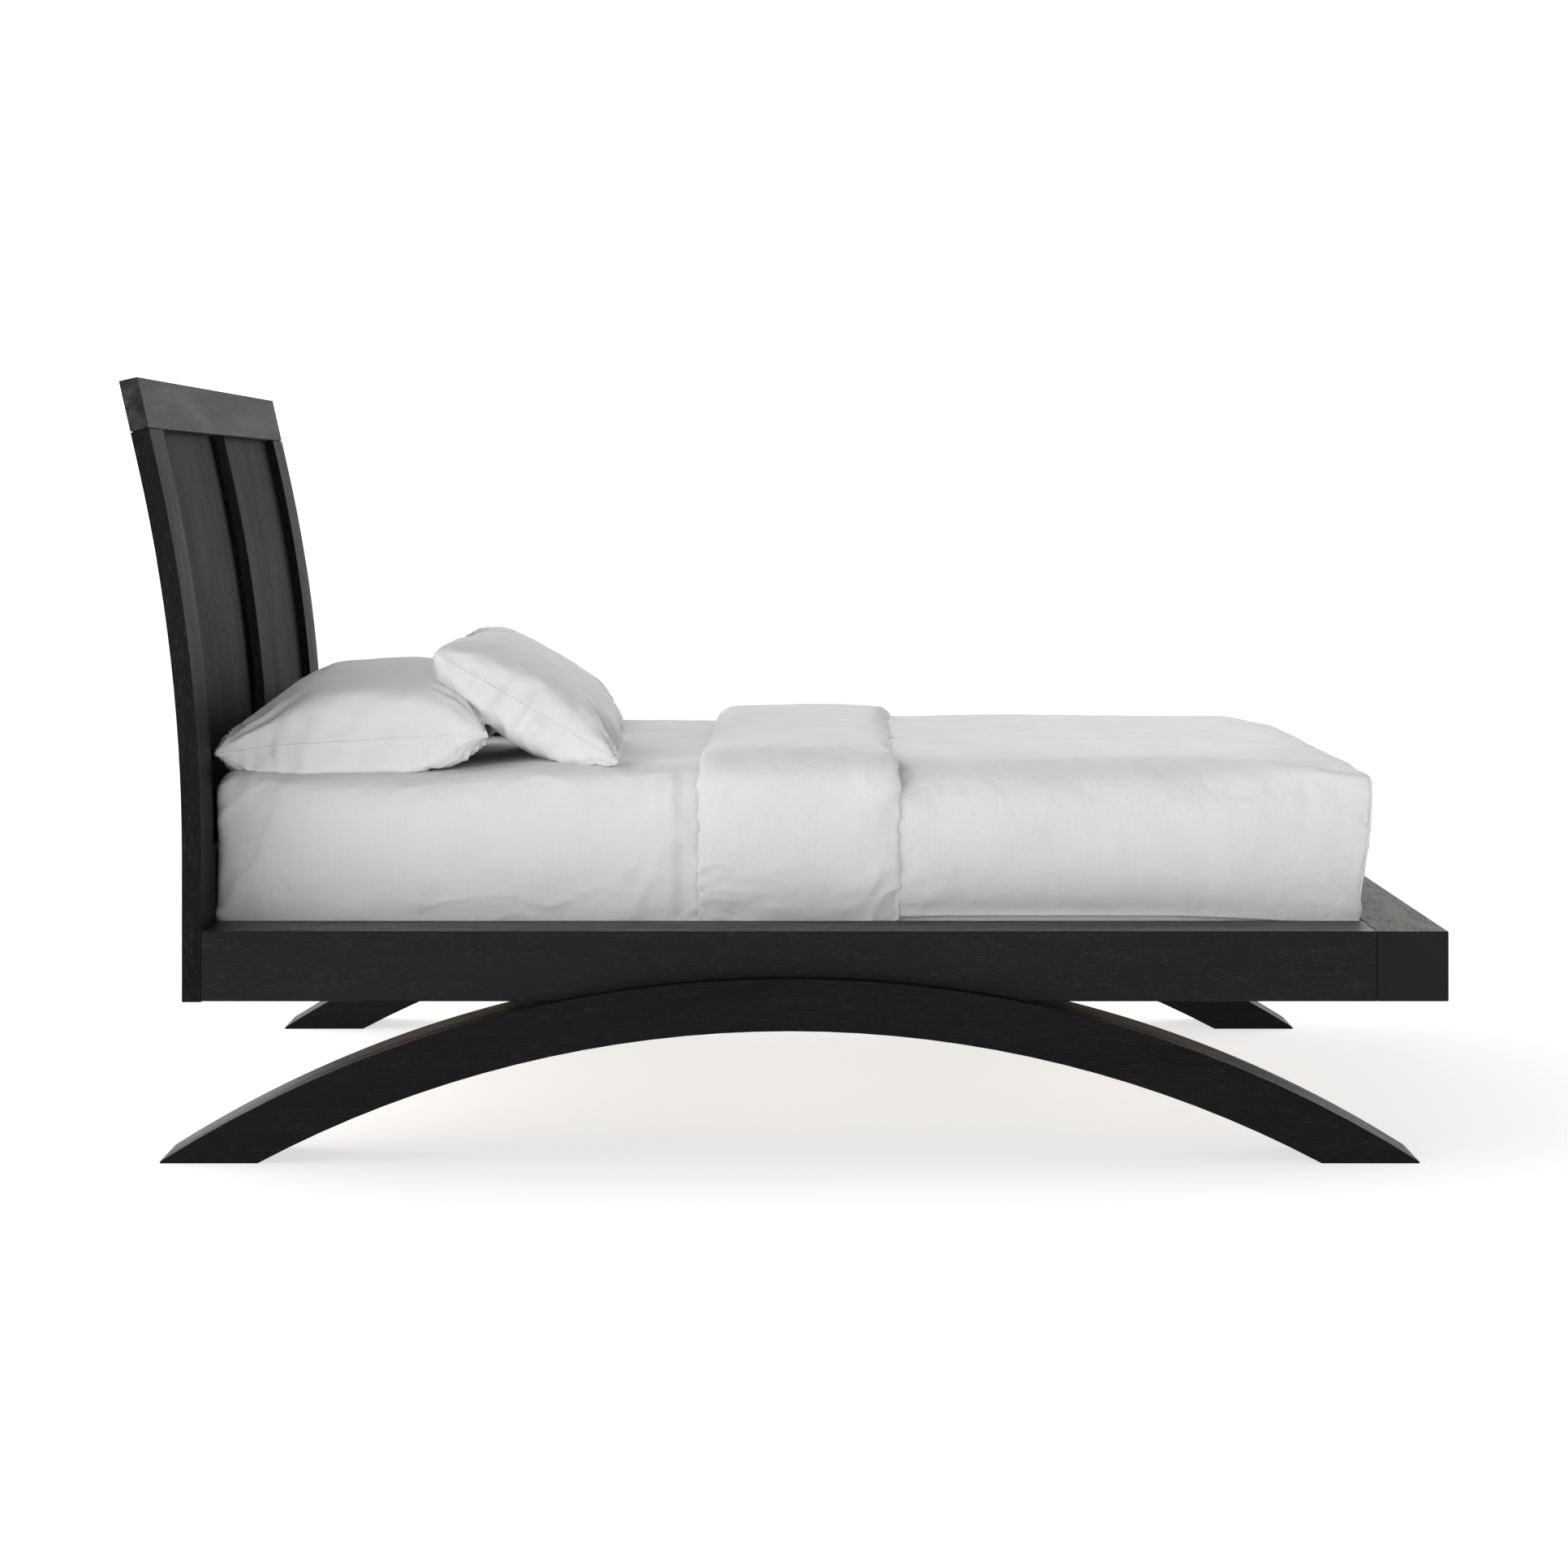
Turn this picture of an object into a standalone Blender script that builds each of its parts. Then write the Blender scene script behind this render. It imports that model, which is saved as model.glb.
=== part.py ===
"""Platform bed with a sleigh headboard: an upright that curves and leans back, on two arched side feet.

Metres, +Z up. X runs along the bed with the head at -X, Y across it, and the origin is on the
floor under the middle of the whole bed. Left and right are a sleeper's own, lying on their back,
so left is +Y.
"""

import math

import bmesh
import bpy

# ---- driving dimensions -------------------------------------------------------------------------

GAP = 0.0003  # between pieces that touch
MITRE_GAP = 0.0005  # across a mitre, measured along one of its faces

# The mattress is a queen, 1.524 by 2.032 m, and everything is laid out round it.
MATTRESS_WIDTH = 1.524
MATTRESS_TOP = 0.660
MATTRESS_EDGE_RADIUS = 0.028
RECESS_CLEARANCE = 0.008  # from the mattress's side to the ledge

# Platform: hollow boards, mitred along their outer edges
RAIL_BOTTOM = 0.274
RAIL_TOP = 0.395
BOARD = 0.022
LEDGE_WIDTH = 0.178
FOOT_RAIL_DEPTH = 0.1242
FOOT_FACE_X = 1.1485

# Headboard: upright at first, then a circular arc that leans back, then straight to the top
HEAD_FRONT_X = -1.007
HEAD_BOTTOM = 0.2725
HEAD_THICKNESS = 0.033
HEAD_BEND_START = 0.522
HEAD_BEND_RADIUS = 3.06  # of the back face
HEAD_LEAN = math.radians(12.8)
HEAD_TOP = 1.353
TOP_RAIL_HEIGHT = 0.090
BOTTOM_RAIL_TOP = 0.520
SHADOW_GAP = 0.0015  # between the top rail and the posts
POST_WIDTH = 0.160
STILE_WIDTH = 0.130
STILE_RECESS = 0.008
PANEL_RECESS = 0.0175
PANEL_THICKNESS = 0.009
TONGUE = 0.008  # how far panels and stub tenons reach into their grooves
TENON_SHOULDER = 0.018
BEND_STEPS = 14

# Arched feet: a crescent between two circles, cut off level at the floor
ARCH_CENTER_X = 0.010
ARCH_OUTER_FACE = 0.985
ARCH_INNER_FACE = 0.799
ARCH_PLATE = 0.050
ARCH_UNDER_RADIUS = 1.956
ARCH_UNDER_CENTER_Z = -1.729
ARCH_TOP_RADIUS = 2.024
ARCH_TOP_CENTER_Z = -1.707
ARCH_TIP = 0.003  # blunt end of the feet's points
ARCH_STEPS = 32

# Slats and what carries them
SLAT_COUNT = 12
SLAT_WIDTH = 0.090
SLAT_THICKNESS = 0.019
SLAT_TOP = 0.3572
CLEAT_SIZE = (0.028, 0.037)  # out from the apron, and high
BEAM_WIDTH = 0.070
STRETCHER_OFFSET = 0.300
STRETCHER_WIDTH = 0.070
STRETCHER_BOTTOM = 0.206
ARCH_BLOCK_HALF = 0.460
HEAD_BLOCK_LENGTH = 0.090

# Bed bolts, through the posts into the side rails
BOLT_HEIGHTS = (0.302, 0.368)
BOLT_HEAD_RADIUS = 0.0095
BOLT_HEAD_HEIGHT = 0.0025
BOLT_RADIUS = 0.004
BOLT_REACH = 0.045  # into the block behind the post
BOLT_SIDES = 16

# Bedding
MATTRESS_HEAD_GAP = 0.0008
MATTRESS_FOOT_GAP = 0.007
DUVET_START_X = -0.152
DUVET_SKIRT = 0.006  # tucked thickness, beside the mattress
DUVET_SKIRT_OVERLAP = 0.062  # how far the skirt runs up inside the hanging sides
DUVET_SIDE = 0.012
DUVET_FOOT = 0.018
DUVET_TOP = 0.680
DUVET_SKIRT_BOTTOM = 0.385
CUFF_LENGTH = 0.359
CUFF_TOP = 0.702
CUFF_PROUD = 0.003  # beyond the duvet's sides
PILLOW_LENGTH = 0.665  # across the bed
PILLOW_WIDTH = 0.480
PILLOW_MIDDLE_Y = 0.4225
PILLOW_SEAM = 0.008  # thickness of the edge
PILLOW_CLEARANCE = 0.006  # over the mattress
FLAT_PILLOW_X = -0.764
FLAT_PILLOW_SEAM = 0.706
FLAT_PILLOW_RISE = 0.138
LEANING_PILLOW_WIDTH = 0.372
LEANING_PILLOW_CENTER = (-0.448, 0.779)
LEANING_PILLOW_TILT = math.radians(31.3)
LEANING_PILLOW_RISE = 0.100
LEANING_PILLOW_DROP = 0.066

# ---- worked out from them -----------------------------------------------------------------------

HALF_RECESS = MATTRESS_WIDTH / 2 + RECESS_CLEARANCE
HALF_WIDTH = HALF_RECESS + LEDGE_WIDTH
FOOT_JOINT_X = FOOT_FACE_X - FOOT_RAIL_DEPTH
POST_INNER = HALF_WIDTH - POST_WIDTH
HEAD_FRONT_RADIUS = HEAD_BEND_RADIUS + HEAD_THICKNESS
UPRIGHT = HEAD_BEND_START - HEAD_BOTTOM  # face length below the bend
BEND = HEAD_FRONT_RADIUS * HEAD_LEAN  # face length of the bend
BEND_RISE = HEAD_FRONT_RADIUS * math.sin(HEAD_LEAN)
FACE_LENGTH = UPRIGHT + BEND + (HEAD_TOP - HEAD_BEND_START - BEND_RISE) / math.cos(HEAD_LEAN)
TOP_RAIL_START = FACE_LENGTH - TOP_RAIL_HEIGHT
BOTTOM_RAIL_END = BOTTOM_RAIL_TOP - HEAD_BOTTOM
LEDGE_CLEARANCE = RAIL_TOP + 0.002
MATTRESS_BOTTOM = SLAT_TOP + GAP
MATTRESS_FOOT = FOOT_JOINT_X - MATTRESS_FOOT_GAP
SIDES = (("left", 1), ("right", -1))


# ---- scene and materials ------------------------------------------------------------------------


def clear_scene():
    for obj in list(bpy.data.objects):
        bpy.data.objects.remove(obj, do_unlink=True)


def new_collection(name):
    collection = bpy.data.collections.new(name)
    bpy.context.scene.collection.children.link(collection)
    return collection


def new_material(name, color, roughness, metallic=0.0):
    material = bpy.data.materials.new(name)
    material.use_nodes = True
    shader = material.node_tree.nodes["Principled BSDF"]
    shader.inputs["Base Color"].default_value = (*color, 1.0)
    shader.inputs["Roughness"].default_value = roughness
    shader.inputs["Metallic"].default_value = metallic
    return material


clear_scene()
BED = new_collection("sleigh_bed")
CUTTERS = new_collection("cutters")
STAINED_WOOD = new_material("espresso_stained_wood", (0.022, 0.021, 0.020), 0.45)
PLAIN_WOOD = new_material("plain_pine", (0.58, 0.43, 0.27), 0.65)
STEEL = new_material("black_zinc_steel", (0.10, 0.10, 0.10), 0.35, 1.0)
LINEN = new_material("white_percale", (0.74, 0.74, 0.75), 0.80)
TICKING = new_material("mattress_ticking", (0.70, 0.70, 0.69), 0.85)


# ---- shapes -------------------------------------------------------------------------------------


def add_mesh(name, mesh, material, collection=None):
    """A new object for a mesh, in the bed's collection or another."""
    obj = bpy.data.objects.new(name, mesh)
    (collection or BED).objects.link(obj)
    if material:
        mesh.materials.clear()
        mesh.materials.append(material)
    return obj


def box(name, low, high, material, collection=None):
    """An upright box between two corners."""
    mesh = bpy.data.meshes.new(name)
    solid = bmesh.new()
    bmesh.ops.create_cube(solid, size=1.0)
    for vertex in solid.verts:
        vertex.co = [l + (h - l) * (c + 0.5) for l, h, c in zip(low, high, vertex.co)]
    solid.to_mesh(mesh)
    solid.free()
    return add_mesh(name, mesh, material, collection)


def mitred_board(name, low, high, face, mitres, material):
    """A board whose outer face looks along face (axis, sign), with the edges in mitres cut at 45 degrees.

    Each mitre is an (axis, sign) too: that edge keeps its length on the outer face, and is one
    thickness shorter on the inner face.
    """
    axis, sign = face
    thickness = high[axis] - low[axis]
    board = box(name, low, high, material)
    middle = (low[axis] + high[axis]) / 2
    for vertex in board.data.vertices:
        inner = (vertex.co[axis] - middle) * sign < 0
        for edge_axis, edge_sign in mitres:
            edge_middle = (low[edge_axis] + high[edge_axis]) / 2
            if (vertex.co[edge_axis] - edge_middle) * edge_sign > 0:
                vertex.co[edge_axis] -= edge_sign * (MITRE_GAP + (thickness if inner else 0.0))
    return board


def side_profile(name, outline, y_low, y_high, material, collection=None):
    """An outline of (x, z) points, extruded across the bed from y_low to y_high."""
    curve = bpy.data.curves.new(name + "_outline", "CURVE")
    curve.dimensions = "2D"
    curve.fill_mode = "BOTH"
    curve.extrude = (y_high - y_low) / 2
    spline = curve.splines.new("POLY")
    spline.points.add(len(outline) - 1)
    for point, (x, z) in zip(spline.points, outline):
        point.co = (x, z, 0.0, 1.0)
    spline.use_cyclic_u = True
    flat = bpy.data.objects.new(name + "_flat", curve)
    BED.objects.link(flat)
    flat.location.y = (y_low + y_high) / 2
    flat.rotation_euler.x = math.radians(90)
    bpy.context.view_layer.update()
    evaluated = flat.evaluated_get(bpy.context.evaluated_depsgraph_get())
    mesh = bpy.data.meshes.new_from_object(evaluated)
    mesh.transform(flat.matrix_world)
    solid = bmesh.new()
    solid.from_mesh(mesh)
    bmesh.ops.remove_doubles(solid, verts=solid.verts, dist=0.00001)
    bmesh.ops.recalc_face_normals(solid, faces=solid.faces)
    solid.to_mesh(mesh)
    solid.free()
    bpy.data.objects.remove(flat, do_unlink=True)
    bpy.data.curves.remove(curve)
    mesh.name = name
    obj = add_mesh(name, mesh, material, collection)
    mesh.shade_smooth()
    mesh.set_sharp_from_angle(angle=math.radians(30))
    return obj


def turned(name, profile, location, material, collection=None):
    """A (radius, height) profile turned about an axis that lies along X."""
    mesh = bpy.data.meshes.new(name)
    points = [(radius, 0.0, height) for radius, height in profile]
    edges = [(i, i + 1) for i in range(len(points) - 1)]
    mesh.from_pydata(points, edges, [])
    obj = add_mesh(name, mesh, material, collection)
    obj.location = location
    obj.rotation_euler.y = math.radians(90)
    screw = obj.modifiers.new("turned", "SCREW")
    screw.steps = BOLT_SIDES
    screw.render_steps = BOLT_SIDES
    screw.use_merge_vertices = True
    screw.merge_threshold = 0.0001
    screw.use_smooth_shade = False
    return obj


def combine(obj, tool, operation):
    """Cut obj with tool, or join tool to it, and keep the tool as a helper."""
    modifier = obj.modifiers.new(tool.name, "BOOLEAN")
    modifier.operation = operation
    modifier.object = tool
    tool.hide_render = True
    tool.display_type = "WIRE"


def cushion(name, middle, half_length, half_width, rise, drop, tilt, material, cells=8):
    """A pillow: two crowned faces that meet in a thin seam all round.

    half_length is across the bed and half_width along it. rise and drop are the crown's height
    above and below the seam, and tilt turns the pillow about the bed's width, foot edge down.
    """
    mesh = bpy.data.meshes.new(name)
    solid = bmesh.new()
    bmesh.ops.create_cube(solid, size=2.0)
    upright = [e for e in solid.edges if abs(e.verts[0].co.z - e.verts[1].co.z) > 1.0]
    level = [e for e in solid.edges if e not in upright]
    bmesh.ops.subdivide_edges(solid, edges=level, cuts=cells - 1, use_grid_fill=True)
    for vertex in solid.verts:
        u, v, side = vertex.co
        crown = ((1 - abs(u) ** 2.4) * (1 - abs(v) ** 3.0)) ** 0.8
        vertex.co.x = half_width * u * (1 - 0.05 * (1 - v * v))
        vertex.co.y = half_length * v * (1 - 0.03 * (1 - u * u))
        vertex.co.z = side * PILLOW_SEAM / 2 + (rise if side > 0 else -drop) * crown
    solid.to_mesh(mesh)
    solid.free()
    obj = add_mesh(name, mesh, material)
    obj.location = middle
    obj.rotation_euler.y = tilt
    mesh.shade_smooth()
    return obj


# ---- headboard ----------------------------------------------------------------------------------


def head_point(along, depth):
    """The (x, z) point at a length along the front face from its foot, and a depth behind it."""
    lean = min(max((along - UPRIGHT) / HEAD_FRONT_RADIUS, 0.0), HEAD_LEAN)
    straight = min(along - UPRIGHT, 0.0) + max(along - UPRIGHT - BEND, 0.0)
    radius = HEAD_FRONT_RADIUS - depth
    x = HEAD_FRONT_X - HEAD_FRONT_RADIUS + radius * math.cos(lean) - straight * math.sin(lean)
    z = HEAD_BEND_START + radius * math.sin(lean) + straight * math.cos(lean)
    return x, z


def head_stations(start, end):
    """Lengths along the face where a piece between start and end needs a point."""
    bend = [UPRIGHT + BEND * i / BEND_STEPS for i in range(BEND_STEPS + 1)]
    return [start] + [s for s in bend if start + 0.001 < s < end - 0.001] + [end]


def head_piece(name, start, end, front, back, y_low, y_high, material, collection=None):
    """A slice of the headboard, between two lengths along the face and two depths behind it."""
    stations = head_stations(start, end)
    outline = [head_point(s, front) for s in stations]
    outline += [head_point(s, back) for s in reversed(stations)]
    return side_profile(name, outline, y_low, y_high, material, collection)


def head_groove(obj, name, start, end, y_low, y_high):
    """Cut the panels' groove into a piece of the headboard's frame."""
    front = PANEL_RECESS - GAP
    back = PANEL_RECESS + PANEL_THICKNESS + GAP
    tool = head_piece(name, start, end, front, back, y_low, y_high, None, CUTTERS)
    combine(obj, tool, "DIFFERENCE")


def head_tongue(obj, name, start, end, y_low, y_high):
    """Join a stub tenon, as thick as the panels, to a piece of the headboard's frame."""
    back = PANEL_RECESS + PANEL_THICKNESS
    tool = head_piece(name, start, end, PANEL_RECESS, back, y_low, y_high, None, CUTTERS)
    combine(obj, tool, "UNION")


def across(side, inner, outer):
    """The low and high Y of a piece between two distances from the middle, on one side."""
    return sorted((side * inner, side * outer))


def headboard_posts():
    post_end = TOP_RAIL_START - SHADOW_GAP
    for word, side in SIDES:
        name = "headboard_post_" + word
        y_low, y_high = across(side, POST_INNER, HALF_WIDTH)
        post = head_piece(name, 0.0, post_end, 0.0, HEAD_THICKNESS, y_low, y_high, STAINED_WOOD)
        groove = across(side, POST_INNER - 0.010, POST_INNER + TONGUE + GAP)
        head_groove(post, name + "_groove", -0.010, post_end + 0.010, *groove)
        tenon = across(side, POST_INNER + TENON_SHOULDER, HALF_WIDTH - TENON_SHOULDER)
        head_tongue(post, name + "_tenon", post_end - 0.020, TOP_RAIL_START + TONGUE, *tenon)
        for height in BOLT_HEIGHTS:
            combine(post, bolt_hole(name, side, height), "DIFFERENCE")


def headboard_rails():
    top = head_piece("headboard_top_rail", TOP_RAIL_START, FACE_LENGTH, 0.0, HEAD_THICKNESS,
                     -HALF_WIDTH, HALF_WIDTH, STAINED_WOOD)
    groove_half = HALF_WIDTH - TENON_SHOULDER + GAP
    head_groove(top, "headboard_top_rail_groove", TOP_RAIL_START - 0.010,
                TOP_RAIL_START + TONGUE + GAP, -groove_half, groove_half)
    half = POST_INNER - GAP
    bottom = head_piece("headboard_bottom_rail", 0.0, BOTTOM_RAIL_END, 0.0, HEAD_THICKNESS,
                        -half, half, STAINED_WOOD)
    head_tongue(bottom, "headboard_bottom_rail_tenons", 0.004, BOTTOM_RAIL_END - 0.020,
                -half - TONGUE, half + TONGUE)
    head_groove(bottom, "headboard_bottom_rail_groove", BOTTOM_RAIL_END - TONGUE - GAP,
                BOTTOM_RAIL_END + 0.010, -half - 0.010, half + 0.010)


def headboard_stile_and_panels():
    start = BOTTOM_RAIL_END + GAP
    end = TOP_RAIL_START - GAP
    half = STILE_WIDTH / 2
    stile = head_piece("headboard_center_stile", start, end, STILE_RECESS, HEAD_THICKNESS,
                       -half, half, STAINED_WOOD)
    for word, side in SIDES:
        groove = across(side, half - TONGUE - GAP, half + 0.010)
        head_groove(stile, "headboard_center_stile_groove_" + word, start - 0.010, end + 0.010,
                    *groove)
        panel = across(side, half - TONGUE, POST_INNER + TONGUE)
        head_piece("headboard_panel_" + word, start - TONGUE, end + TONGUE, PANEL_RECESS,
                   PANEL_RECESS + PANEL_THICKNESS, *panel, STAINED_WOOD)


# ---- bed bolts ----------------------------------------------------------------------------------


def bolt_middle(side, height):
    """Where a bolt's axis meets the back of its post."""
    return (HEAD_FRONT_X - HEAD_THICKNESS, side * (HALF_RECESS + LEDGE_WIDTH / 2), height)


def bolt_hole(name, side, height):
    """A round cutter along a bolt's shank, from behind the post to just past the bolt's end."""
    radius = BOLT_RADIUS + GAP
    end = HEAD_THICKNESS + BOLT_REACH + 0.002
    profile = [(0.0, end), (radius, end), (radius, -0.010), (0.0, -0.010)]
    label = f"{name}_bolt_hole_{round(height * 1000)}"
    return turned(label, profile, bolt_middle(side, height), None, CUTTERS)


def bed_bolts():
    end = HEAD_THICKNESS + BOLT_REACH
    head_out = -GAP - BOLT_HEAD_HEIGHT
    profile = [
        (0.0, end),
        (BOLT_RADIUS, end),
        (BOLT_RADIUS, -GAP),
        (BOLT_HEAD_RADIUS, -GAP),
        (BOLT_HEAD_RADIUS, head_out + 0.001),
        (BOLT_HEAD_RADIUS - 0.0015, head_out),
        (0.0, head_out),
    ]
    for word, side in SIDES:
        for place, height in zip(("lower", "upper"), BOLT_HEIGHTS):
            turned(f"bed_bolt_{word}_{place}", profile, bolt_middle(side, height), STEEL)


# ---- platform -----------------------------------------------------------------------------------


def side_rails():
    start = HEAD_FRONT_X + GAP
    end = FOOT_JOINT_X - GAP
    inside = (HALF_RECESS + BOARD + GAP, HALF_WIDTH - BOARD - GAP)
    block_top = RAIL_TOP - BOARD - GAP
    for word, side in SIDES:
        rail = "side_rail_" + word
        y = across(side, HALF_WIDTH - BOARD, HALF_WIDTH)
        mitred_board(rail + "_fascia", (start, y[0], RAIL_BOTTOM), (end, y[1], RAIL_TOP),
                     (1, side), [(2, 1)], STAINED_WOOD)
        y = across(side, HALF_RECESS, HALF_WIDTH)
        mitred_board(rail + "_ledge", (start, y[0], RAIL_TOP - BOARD), (end, y[1], RAIL_TOP),
                     (2, 1), [(1, -1), (1, 1)], STAINED_WOOD)
        y = across(side, HALF_RECESS, HALF_RECESS + BOARD)
        mitred_board(rail + "_apron", (start, y[0], RAIL_BOTTOM), (end, y[1], RAIL_TOP),
                     (1, -side), [(2, 1)], STAINED_WOOD)
        y = across(side, HALF_RECESS - GAP - CLEAT_SIZE[0], HALF_RECESS - GAP)
        cleat_top = SLAT_TOP - SLAT_THICKNESS - GAP
        box(rail + "_cleat", (start + BOARD + GAP, y[0], cleat_top - CLEAT_SIZE[1]),
            (end, y[1], cleat_top), PLAIN_WOOD)
        y = across(side, *inside)
        block = box(rail + "_head_block", (start, y[0], RAIL_BOTTOM + 0.002),
                    (start + HEAD_BLOCK_LENGTH, y[1], block_top), PLAIN_WOOD)
        for height in BOLT_HEIGHTS:
            combine(block, bolt_hole(rail + "_block", side, height), "DIFFERENCE")
        box(rail + "_arch_block", (ARCH_CENTER_X - ARCH_BLOCK_HALF, y[0], RAIL_BOTTOM),
            (ARCH_CENTER_X + ARCH_BLOCK_HALF, y[1], block_top), PLAIN_WOOD)


def foot_rail():
    low = (FOOT_JOINT_X, -HALF_WIDTH, RAIL_BOTTOM)
    high = (FOOT_FACE_X, HALF_WIDTH, RAIL_TOP)
    top, ends, long_edges = (2, 1), [(1, -1), (1, 1)], [(0, -1), (0, 1)]
    mitred_board("foot_rail_fascia", (high[0] - BOARD, low[1], low[2]), high,
                 (0, 1), [top, *ends], STAINED_WOOD)
    mitred_board("foot_rail_apron", low, (low[0] + BOARD, high[1], high[2]),
                 (0, -1), [top, *ends], STAINED_WOOD)
    mitred_board("foot_rail_ledge", (low[0], low[1], high[2] - BOARD), high,
                 top, ends + long_edges, STAINED_WOOD)
    for word, side in SIDES:
        y = across(side, HALF_WIDTH - BOARD, HALF_WIDTH)
        mitred_board("foot_rail_end_cap_" + word, (low[0], y[0], low[2]), (high[0], y[1], high[2]),
                     (1, side), [top, *long_edges], STAINED_WOOD)


def slats_and_supports():
    rail_top = SLAT_TOP - SLAT_THICKNESS - GAP
    start = HEAD_FRONT_X + GAP
    end = FOOT_JOINT_X - GAP
    half = HALF_RECESS - GAP
    box("head_cross_rail", (start, -half, RAIL_BOTTOM), (start + BOARD, half, rail_top), PLAIN_WOOD)
    box("center_beam", (start + BOARD + GAP, -BEAM_WIDTH / 2, RAIL_BOTTOM),
        (end, BEAM_WIDTH / 2, rail_top), PLAIN_WOOD)
    pitch = (end - start - SLAT_WIDTH) / (SLAT_COUNT - 1)
    for i in range(SLAT_COUNT):
        x = start + i * pitch
        slat_half = half - 0.001
        box(f"slat_{i + 1:02d}", (x, -slat_half, rail_top + GAP),
            (x + SLAT_WIDTH, slat_half, SLAT_TOP), PLAIN_WOOD)


# ---- arched feet --------------------------------------------------------------------------------


def arc(radius, center_z, x_start, x_end):
    """Points on a circle over the arch's middle, between two distances along the bed from it."""
    start = math.asin(x_start / radius)
    end = math.asin(x_end / radius)
    angles = [start + (end - start) * i / ARCH_STEPS for i in range(ARCH_STEPS + 1)]
    return [(ARCH_CENTER_X + radius * math.sin(a), center_z + radius * math.cos(a)) for a in angles]


def arc_reach(radius, center_z, height):
    """How far from the arch's middle a circle crosses a height."""
    return math.sqrt(radius**2 - (height - center_z) ** 2)


def arch_outline(level_top=None):
    """The crescent, or what is left of it under a level top."""
    under = arc_reach(ARCH_UNDER_RADIUS, ARCH_UNDER_CENTER_Z, 0.0)
    tip = arc_reach(ARCH_TOP_RADIUS, ARCH_TOP_CENTER_Z, ARCH_TIP)
    outline = arc(ARCH_UNDER_RADIUS, ARCH_UNDER_CENTER_Z, -under, under)
    outline.append((ARCH_CENTER_X + tip, 0.0))
    if level_top is None:
        outline += arc(ARCH_TOP_RADIUS, ARCH_TOP_CENTER_Z, tip, -tip)
    else:
        shoulder = arc_reach(ARCH_TOP_RADIUS, ARCH_TOP_CENTER_Z, level_top)
        outline += arc(ARCH_TOP_RADIUS, ARCH_TOP_CENTER_Z, tip, shoulder)
        outline += arc(ARCH_TOP_RADIUS, ARCH_TOP_CENTER_Z, -shoulder, -tip)
    outline.append((ARCH_CENTER_X - tip, 0.0))
    return outline


def arched_feet():
    """Each foot is an outer plate that laps up over the side rail, and a core under the rail."""
    under_rail = RAIL_BOTTOM - GAP
    seam = ARCH_OUTER_FACE - ARCH_PLATE
    for word, side in SIDES:
        y = across(side, seam, ARCH_OUTER_FACE)
        plate = side_profile(f"arch_{word}_outer_plate", arch_outline(), *y, STAINED_WOOD)
        y = across(side, seam - 0.010, HALF_WIDTH + GAP)
        rebate = box(f"arch_{word}_rebate", (-1.0, y[0], under_rail), (1.0, y[1], 0.5),
                     None, CUTTERS)
        combine(plate, rebate, "DIFFERENCE")
        y = across(side, ARCH_INNER_FACE, seam - GAP)
        side_profile(f"arch_{word}_core", arch_outline(under_rail), *y, STAINED_WOOD)
    half = ARCH_INNER_FACE - GAP
    for word, x in (("head", -STRETCHER_OFFSET), ("foot", STRETCHER_OFFSET)):
        middle = ARCH_CENTER_X + x
        box(f"arch_stretcher_{word}", (middle - STRETCHER_WIDTH / 2, -half, STRETCHER_BOTTOM),
            (middle + STRETCHER_WIDTH / 2, half, under_rail), STAINED_WOOD)


# ---- bedding ------------------------------------------------------------------------------------


def mattress_corners(margin=0.0):
    half = MATTRESS_WIDTH / 2 + margin
    low = (HEAD_FRONT_X + MATTRESS_HEAD_GAP - margin, -half, MATTRESS_BOTTOM - margin)
    high = (MATTRESS_FOOT + margin, half, MATTRESS_TOP + margin)
    return low, high


def round_edges(obj, radius, segments):
    bevel = obj.modifiers.new("rounded", "BEVEL")
    bevel.width = radius
    bevel.segments = segments
    bevel.limit_method = "ANGLE"


def mattress():
    round_edges(box("mattress", *mattress_corners(), TICKING), MATTRESS_EDGE_RADIUS, 3)


def duvet():
    """The duvet hangs over both sides and the foot, with its top edge folded back as a cuff."""
    half = MATTRESS_WIDTH / 2
    skirt_half = half + DUVET_SKIRT
    skirt_foot = MATTRESS_FOOT + DUVET_SKIRT
    start = DUVET_START_X
    cover = box("duvet", (start, -half - DUVET_SIDE, LEDGE_CLEARANCE),
                (MATTRESS_FOOT + DUVET_FOOT, half + DUVET_SIDE, DUVET_TOP), LINEN)
    round_edges(cover, MATTRESS_EDGE_RADIUS, 2)
    cuff_half = half + DUVET_SIDE + CUFF_PROUD
    cuff = box("duvet_cuff", (start - 0.001, -cuff_half, LEDGE_CLEARANCE + 0.001),
               (start + CUFF_LENGTH, cuff_half, CUFF_TOP), None, CUTTERS)
    round_edges(cuff, MATTRESS_EDGE_RADIUS, 2)
    combine(cover, cuff, "UNION")
    skirt = box("duvet_skirt", (start + 0.004, -skirt_half, DUVET_SKIRT_BOTTOM),
                (skirt_foot, skirt_half, RAIL_TOP + DUVET_SKIRT_OVERLAP), None, CUTTERS)
    combine(cover, skirt, "UNION")
    low, high = mattress_corners(GAP)
    inside = box("duvet_inside", (low[0], low[1], DUVET_SKIRT_BOTTOM - 0.1), high, None, CUTTERS)
    combine(cover, inside, "DIFFERENCE")


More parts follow.
